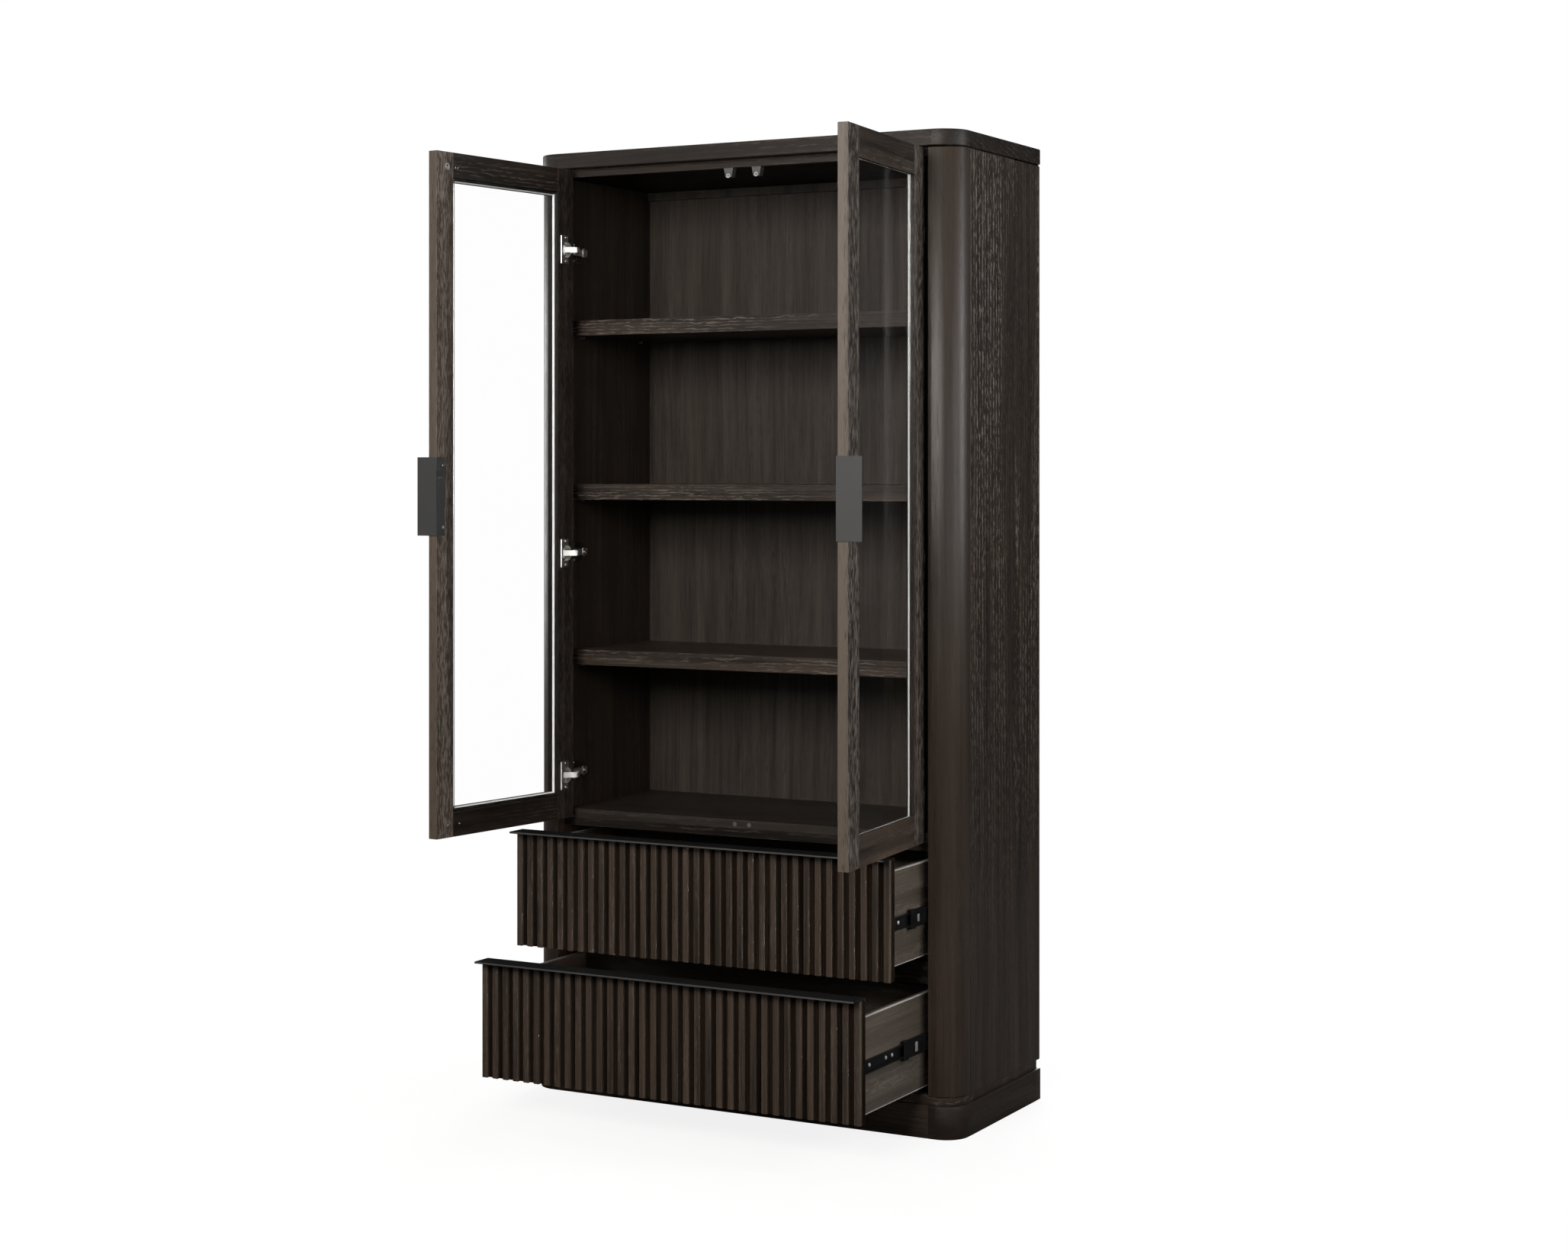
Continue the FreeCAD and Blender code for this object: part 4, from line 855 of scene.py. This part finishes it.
# finish, slot and section: its places are the distance from the sight edge towards the wood and the
# height over the outer face
glazeParts = {
    # the lip is clear plastic painted milky white: painted light for the white background seen through it
    "lip": ("lipPaintedWhite", "clear_plastic", [(-0.2, 12.6), (-0.3, 13.6), (0.2, 14.7), (1.1, 15.8), (2.1, 16.7),
                                          (2.6, 16.4), (2.4, 12.6)]),
    # the dark line is painted shadow in the gap beside the wood
    "shadowLine": ("blackMoulding", "black_plastic", [(4.6, 19.3), (4.9, 19.9), (5.9, 19.9), (6.3, 19.3)])}


def frameRun(bm, word, side, section):
    # a section carried round the door's sight edge with mitred corners
    left, right, low, high = (glazeSet[key] for key in ("left", "right", "low", "high"))
    loops = []
    for u, z, du, dz in ((left, low, -1, -1), (right, low, 1, -1), (right, high, 1, 1), (left, high, -1, 1)):
        loops.append([bm.verts.new(onDoor(word, side, u + du * away, t, z + dz * away))
                      for away, t in section])
    for n in range(4):
        bridge(bm, loops[n], loops[(n + 1) % 4])


def glazing(word, side):
    # the strip's soft lip on the glass, painted milky white for the white background seen through the clear
    # strip, and beside it a dark line that paints the shadow in the gap at the wood
    for part, (finish, slot, section) in glazeParts.items():
        bm = bmesh.new()
        frameRun(bm, word, side, section)
        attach(newPiece(word + "_glazing_" + part, bm, finish), word + "_door")


# sections as (x, deep); the thin one runs past the hinges, between the runs of the other
dustSet = {
    "section": [(437.5, 26.6), (437.5, 28.4), (420, 28.4), (416, 28.0), (415, 27.4), (416, 26.8),
                (420, 26.6)],
    "thin": [(437.5, 26.0), (437.5, 26.7), (418, 26.7), (417.6, 26.35), (418, 26.0)],
    "runs": ((601, 660), (692, 1132), (1164, 1777), (1809, 1949))}


def dustStrips():
    # dark strips that close the gap beside the open doors
    bm = bmesh.new()
    runs = [(dustSet["section"], run) for run in dustSet["runs"]]
    runs += [(dustSet["thin"], (low[1], high[0])) for low, high in zip(dustSet["runs"], dustSet["runs"][1:])]
    for side in (-1, 1):
        for section, run in runs:
            extruded(bm, *[[at(side * x, deep, z) for x, deep in section] for z in run])
    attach(newPiece("dust_strips", bm, "dustFelt"), "carcass")


catchSet = {"x": 33, "deep": 27, "height": 1934.5, "ring": (4.6, 2.7), "proud": 0.5, "sunk": 0.1}


def magnetRings():
    # a ring round each magnet, whose face closes it
    bm = bmesh.new()
    outer, inner = catchSet["ring"]
    proud, sunk = catchSet["proud"], catchSet["sunk"]
    profile = [(outer, 0), (outer, proud), (inner, proud), (inner, sunk)]
    for side in (-1, 1):
        place = at(side * catchSet["x"], catchSet["deep"] + sunk, catchSet["height"])
        bm.faces.new(turnedRings(bm, facing(place, outFront), profile, count=28)[1])
    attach(newPiece("magnet_rings", bm, "nickel"), "carcass")


strikeSet = {"u": 397.6, "height": 1934.5, "seat": 21.1, "screw": (3.4, 0.9),
             "pins": ((372.0, 1934.0), (365.0, 1934.0), (360.7, 609.7)),
             "pinProfile": [(2.3, -0.3), (2.3, 0.4), (1.7, 0.9), (0.7, 1.1)]}
handleSet = {"u": 411.9, "heights": (1333.6, 1209.7), "top": 23.0, "screw": (3.0, 1.1)}


def doorPins(word, side):
    # the strike's screw, the locating pins on the rails and the handle's screws
    bm = bmesh.new()
    turns = spins("doors", side)
    inward = doorWay(word, side, acrossY)
    seat = onDoor(word, side, strikeSet["u"], strikeSet["seat"], strikeSet["height"])
    screw(bm, seat, inward, *strikeSet["screw"], next(turns))
    for u, z in strikeSet["pins"]:
        pose = facing(onDoor(word, side, u, doorSet["thick"], z), inward)
        bm.faces.new(turnedRings(bm, pose, strikeSet["pinProfile"], count=16)[1])
    for z in handleSet["heights"]:
        place = onDoor(word, side, handleSet["u"], handleSet["top"], z)
        screw(bm, place, inward, *handleSet["screw"], next(turns))
    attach(newPiece(word + "_door_pins", bm, "screwSteel"), word + "_door")


# out and middleOut say how far the drawer and the middle members stand out at rest
slideSet = {"webX": 424.5, "middleX": 433.6, "heights": {"lower": 191.6, "upper": 443.5},
            "out": {"lower": 291, "upper": 165}, "middleOut": {"lower": 128, "upper": 97},
            "screws": (32, 56, 127, 154, 260, 330), "screw": (3.8, 1.7)}


def slideScrews(word):
    bm = bmesh.new()
    turns = spins("slides")
    for side in (-1, 1):
        for deep in slideSet["screws"]:
            place = at(side * slideSet["webX"], deep - slideSet["out"][word], slideSet["heights"][word])
            screw(bm, place, (side, 0, 0), *slideSet["screw"], next(turns))
    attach(newPiece(word + "_slide_screws", bm, "linkNickel"), word + "_drawer")


# deep, height and width of each plate; a sheet is its thickness, corner and eased arris
glintPlateSet = {"lower": (83, 19, 11), "upper": (61, 15, 8), "sheet": (0.5, 1.5, 0.2), "rivets": (-24, 22),
             "rivetProfile": [(3.2, 0), (3.2, 0.25), (2.4, 0.6), (0.6, 0.7)]}


def slideGlintPlates(word):
    # a bright plate on each middle member that stands for a lamp's glint there, a painted highlight, and two
    # dark rivets
    bright = bmesh.new()
    dark = bmesh.new()
    deep, tall, wide = glintPlateSet[word]
    for side in (-1, 1):
        middle, *rivets = [
            facing(at(side * slideSet["middleX"], deep + shift - slideSet["middleOut"][word],
                      slideSet["heights"][word]), (side, 0, 0)) for shift in (0, *glintPlateSet["rivets"])]
        plate(bright, middle @ quarterTurn, tall, wide, *glintPlateSet["sheet"])
        for pose in rivets:
            dark.faces.new(turnedRings(dark, pose, glintPlateSet["rivetProfile"], count=18)[1])
    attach(newPiece(word + "_slide_glint_plates", bright, "linkNickel"), word + "_slide_middles")
    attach(newPiece(word + "_slide_rivets", dark, "black_steel"), word + "_slide_middles")


ballSet = {"count": 9, "step": 14, "start": 52, "radius": 1.45, "row": 14.15, "x": 428.5,
           "cageOver": 8, "cageWidth": 4.4, "cageSheet": (0.6, 1.0, 0.15), "cageIn": 0.3}


def slideBalls(word):
    # balls in two rows between the middle and the drawer member, and the cage that spaces them
    balls = bmesh.new()
    cages = bmesh.new()
    count, step = ballSet["count"], ballSet["step"]
    start = ballSet["start"] - slideSet["middleOut"][word]
    for side in (-1, 1):
        for row in (-1, 1):
            x, z = side * ballSet["x"], slideSet["heights"][word] + row * ballSet["row"]
            for n in range(count):
                spot = Matrix.Translation(at(x, start + n * step, z))
                bmesh.ops.create_icosphere(balls, subdivisions=2, radius=ballSet["radius"] * mm, matrix=spot)
            middle = at(x, start + (count - 1) * step / 2, z - ballSet["cageIn"] * row)
            plate(cages, facing(middle, (0, 0, row)) @ quarterTurn, count * step + ballSet["cageOver"],
                  ballSet["cageWidth"], *ballSet["cageSheet"])
    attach(newPiece(word + "_slide_balls", balls, "nickel"), word + "_slide_middles")
    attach(newPiece(word + "_slide_cages", cages, "blackMoulding"), word + "_slide_middles")


frontSet = {"columns": (-360, -120, 120, 360), "lifts": (60, 150), "foot": {"lower": 99, "upper": 360},
            "deep": 37, "screw": (4.0, 1.6)}


def frontScrews(word):
    # screws that hold the drawer's front, seen inside the box
    bm = bmesh.new()
    turns = spins("fronts")
    deep = frontSet["deep"] - slideSet["out"][word]
    for x in frontSet["columns"]:
        for lift in frontSet["lifts"]:
            place = at(x, deep, frontSet["foot"][word] + lift)
            screw(bm, place, acrossY, *frontSet["screw"], next(turns))
    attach(newPiece(word + "_front_screws", bm, "screwSteel"), word + "_drawer")


highlightBandSet = {"width": 4.5, "long": 338, "rear": 375, "sheet": (0.5, 0.6, 0.25), "lineHigh": 2,
           "line": [(-0.1, 0.0), (0.35, 0.3), (0.35, 1.7), (-0.1, 2.0)]}


def edgeHighlightBands(word):
    # painted highlights: light strips along the arrises at the tops and feet of the drawer's sides
    bm = bmesh.new()
    rear = highlightBandSet["rear"] - slideSet["out"][word]
    front = rear - highlightBandSet["long"]
    low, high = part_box(word + "_drawer_box")
    outer, foot, top = high.x / mm, low.z / mm, high.z / mm
    for side in (-1, 1):
        middle = at(side * (outer - highlightBandSet["width"] / 2), rear - highlightBandSet["long"] / 2, top)
        plate(bm, Matrix.Translation(middle), highlightBandSet["width"], highlightBandSet["long"], *highlightBandSet["sheet"])
        for base in (foot, top - highlightBandSet["lineHigh"]):
            extruded(bm, *[[at(side * (outer + out), deep, base + up) for out, up in highlightBandSet["line"]]
                           for deep in (front, rear)])
    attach(newPiece(word + "_edge_highlight_bands", bm, "edgeBand"), word + "_drawer")


pullSet = {"top": {"lower": 326, "upper": 575}, "front": {"lower": -314, "upper": -188}, "drop": 2,
           "long": 863.0, "high": 3.2, "sheet": (0.3, 0.5, 0.15)}


def pullEdgeHighlight(word):
    # a painted highlight: a thin strip a little lighter than the pull along its front edge
    bm = bmesh.new()
    pose = facing(at(0, pullSet["front"][word], pullSet["top"][word] - pullSet["drop"]), outFront)
    plate(bm, pose, pullSet["long"], pullSet["high"], *pullSet["sheet"])
    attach(newPiece(word + "_pull_edge", bm, "edgeCoat"), word + "_drawer")


backSet = {"deep": 397, "columns": (-470, -235, 0, 235, 470), "rows": (98, 400, 700, 1000, 1300, 1600, 1950),
           "screw": (3.6, 1.5)}


def backScrews():
    # along the edges of the back panel
    bm = bmesh.new()
    turns = spins("back")
    columns, rows = backSet["columns"], backSet["rows"]
    for x in columns:
        for z in rows:
            if x in (columns[0], columns[-1]) or z in (rows[0], rows[-1]):
                screw(bm, at(x, backSet["deep"], z), acrossY, *backSet["screw"], next(turns))
    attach(newPiece("back_screws", bm, "screwSteel"), "carcass")


gapSet = {"x": 497, "width": 5, "from": 300, "to": 414, "low": 1964.2, "sheet": (2.6, 1.5, 0.4)}


def gapSeals():
    # dark seals in the shadow gap under the slab, at the rear corners
    bm = bmesh.new()
    front, rear = gapSet["from"], gapSet["to"]
    for side in (-1, 1):
        pose = Matrix.Translation(at(side * gapSet["x"], (front + rear) / 2, gapSet["low"]))
        plate(bm, pose, gapSet["width"], rear - front, *gapSet["sheet"])
    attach(newPiece("gap_seals", bm, "dustFelt"), "carcass")


bracketSet = {"middle": (411.5, 21.5), "low": 84, "turn": 18.0, "size": (35, 9, 1.3), "corner": 2.0,
              "screws": 11, "screw": (2.6, 0.5)}


def footBrackets():
    # small steel straps on the base plate behind the posts
    bm = bmesh.new()
    turns = spins("brackets")
    x, deep = bracketSet["middle"]
    thick = bracketSet["size"][2]
    for side in (-1, 1):
        turn = Matrix.Rotation(math.radians(-side * bracketSet["turn"]), 4, "Z")
        pose = Matrix.Translation(at(side * x, deep, bracketSet["low"])) @ turn
        plate(bm, pose, *bracketSet["size"], bracketSet["corner"])
        for shift in (-bracketSet["screws"], bracketSet["screws"]):
            place = pose @ Vector((shift * mm, 0, thick * mm))
            screw(bm, place, upright, *bracketSet["screw"], next(turns))
    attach(newPiece("foot_brackets", bm, "screwSteel"), "carcass")


makeCamera()
makeLamps()
makeWorld()
makeFloor()
print("studio ready")
dressNodes()
softenArrises()
print("frame dressed:", len(nodes), "nodes")
for word, side in sides:
    cupScrews(word, side)
    cupPins(word, side)
    hingeLinks(word, side)
    armDetails(word, side)
    flangeLips(word, side)
    glazing(word, side)
    doorPins(word, side)
dustStrips()
magnetRings()
print("hinges, catches and handles detailed")
for word in drawers:
    slideScrews(word)
    slideGlintPlates(word)
    slideBalls(word)
    frontScrews(word)
    edgeHighlightBands(word)
    pullEdgeHighlight(word)
print("drawer slides detailed")
backScrews()
gapSeals()
footBrackets()
print("back and foot detailed")

bpy.context.scene.view_settings.view_transform = "Standard"
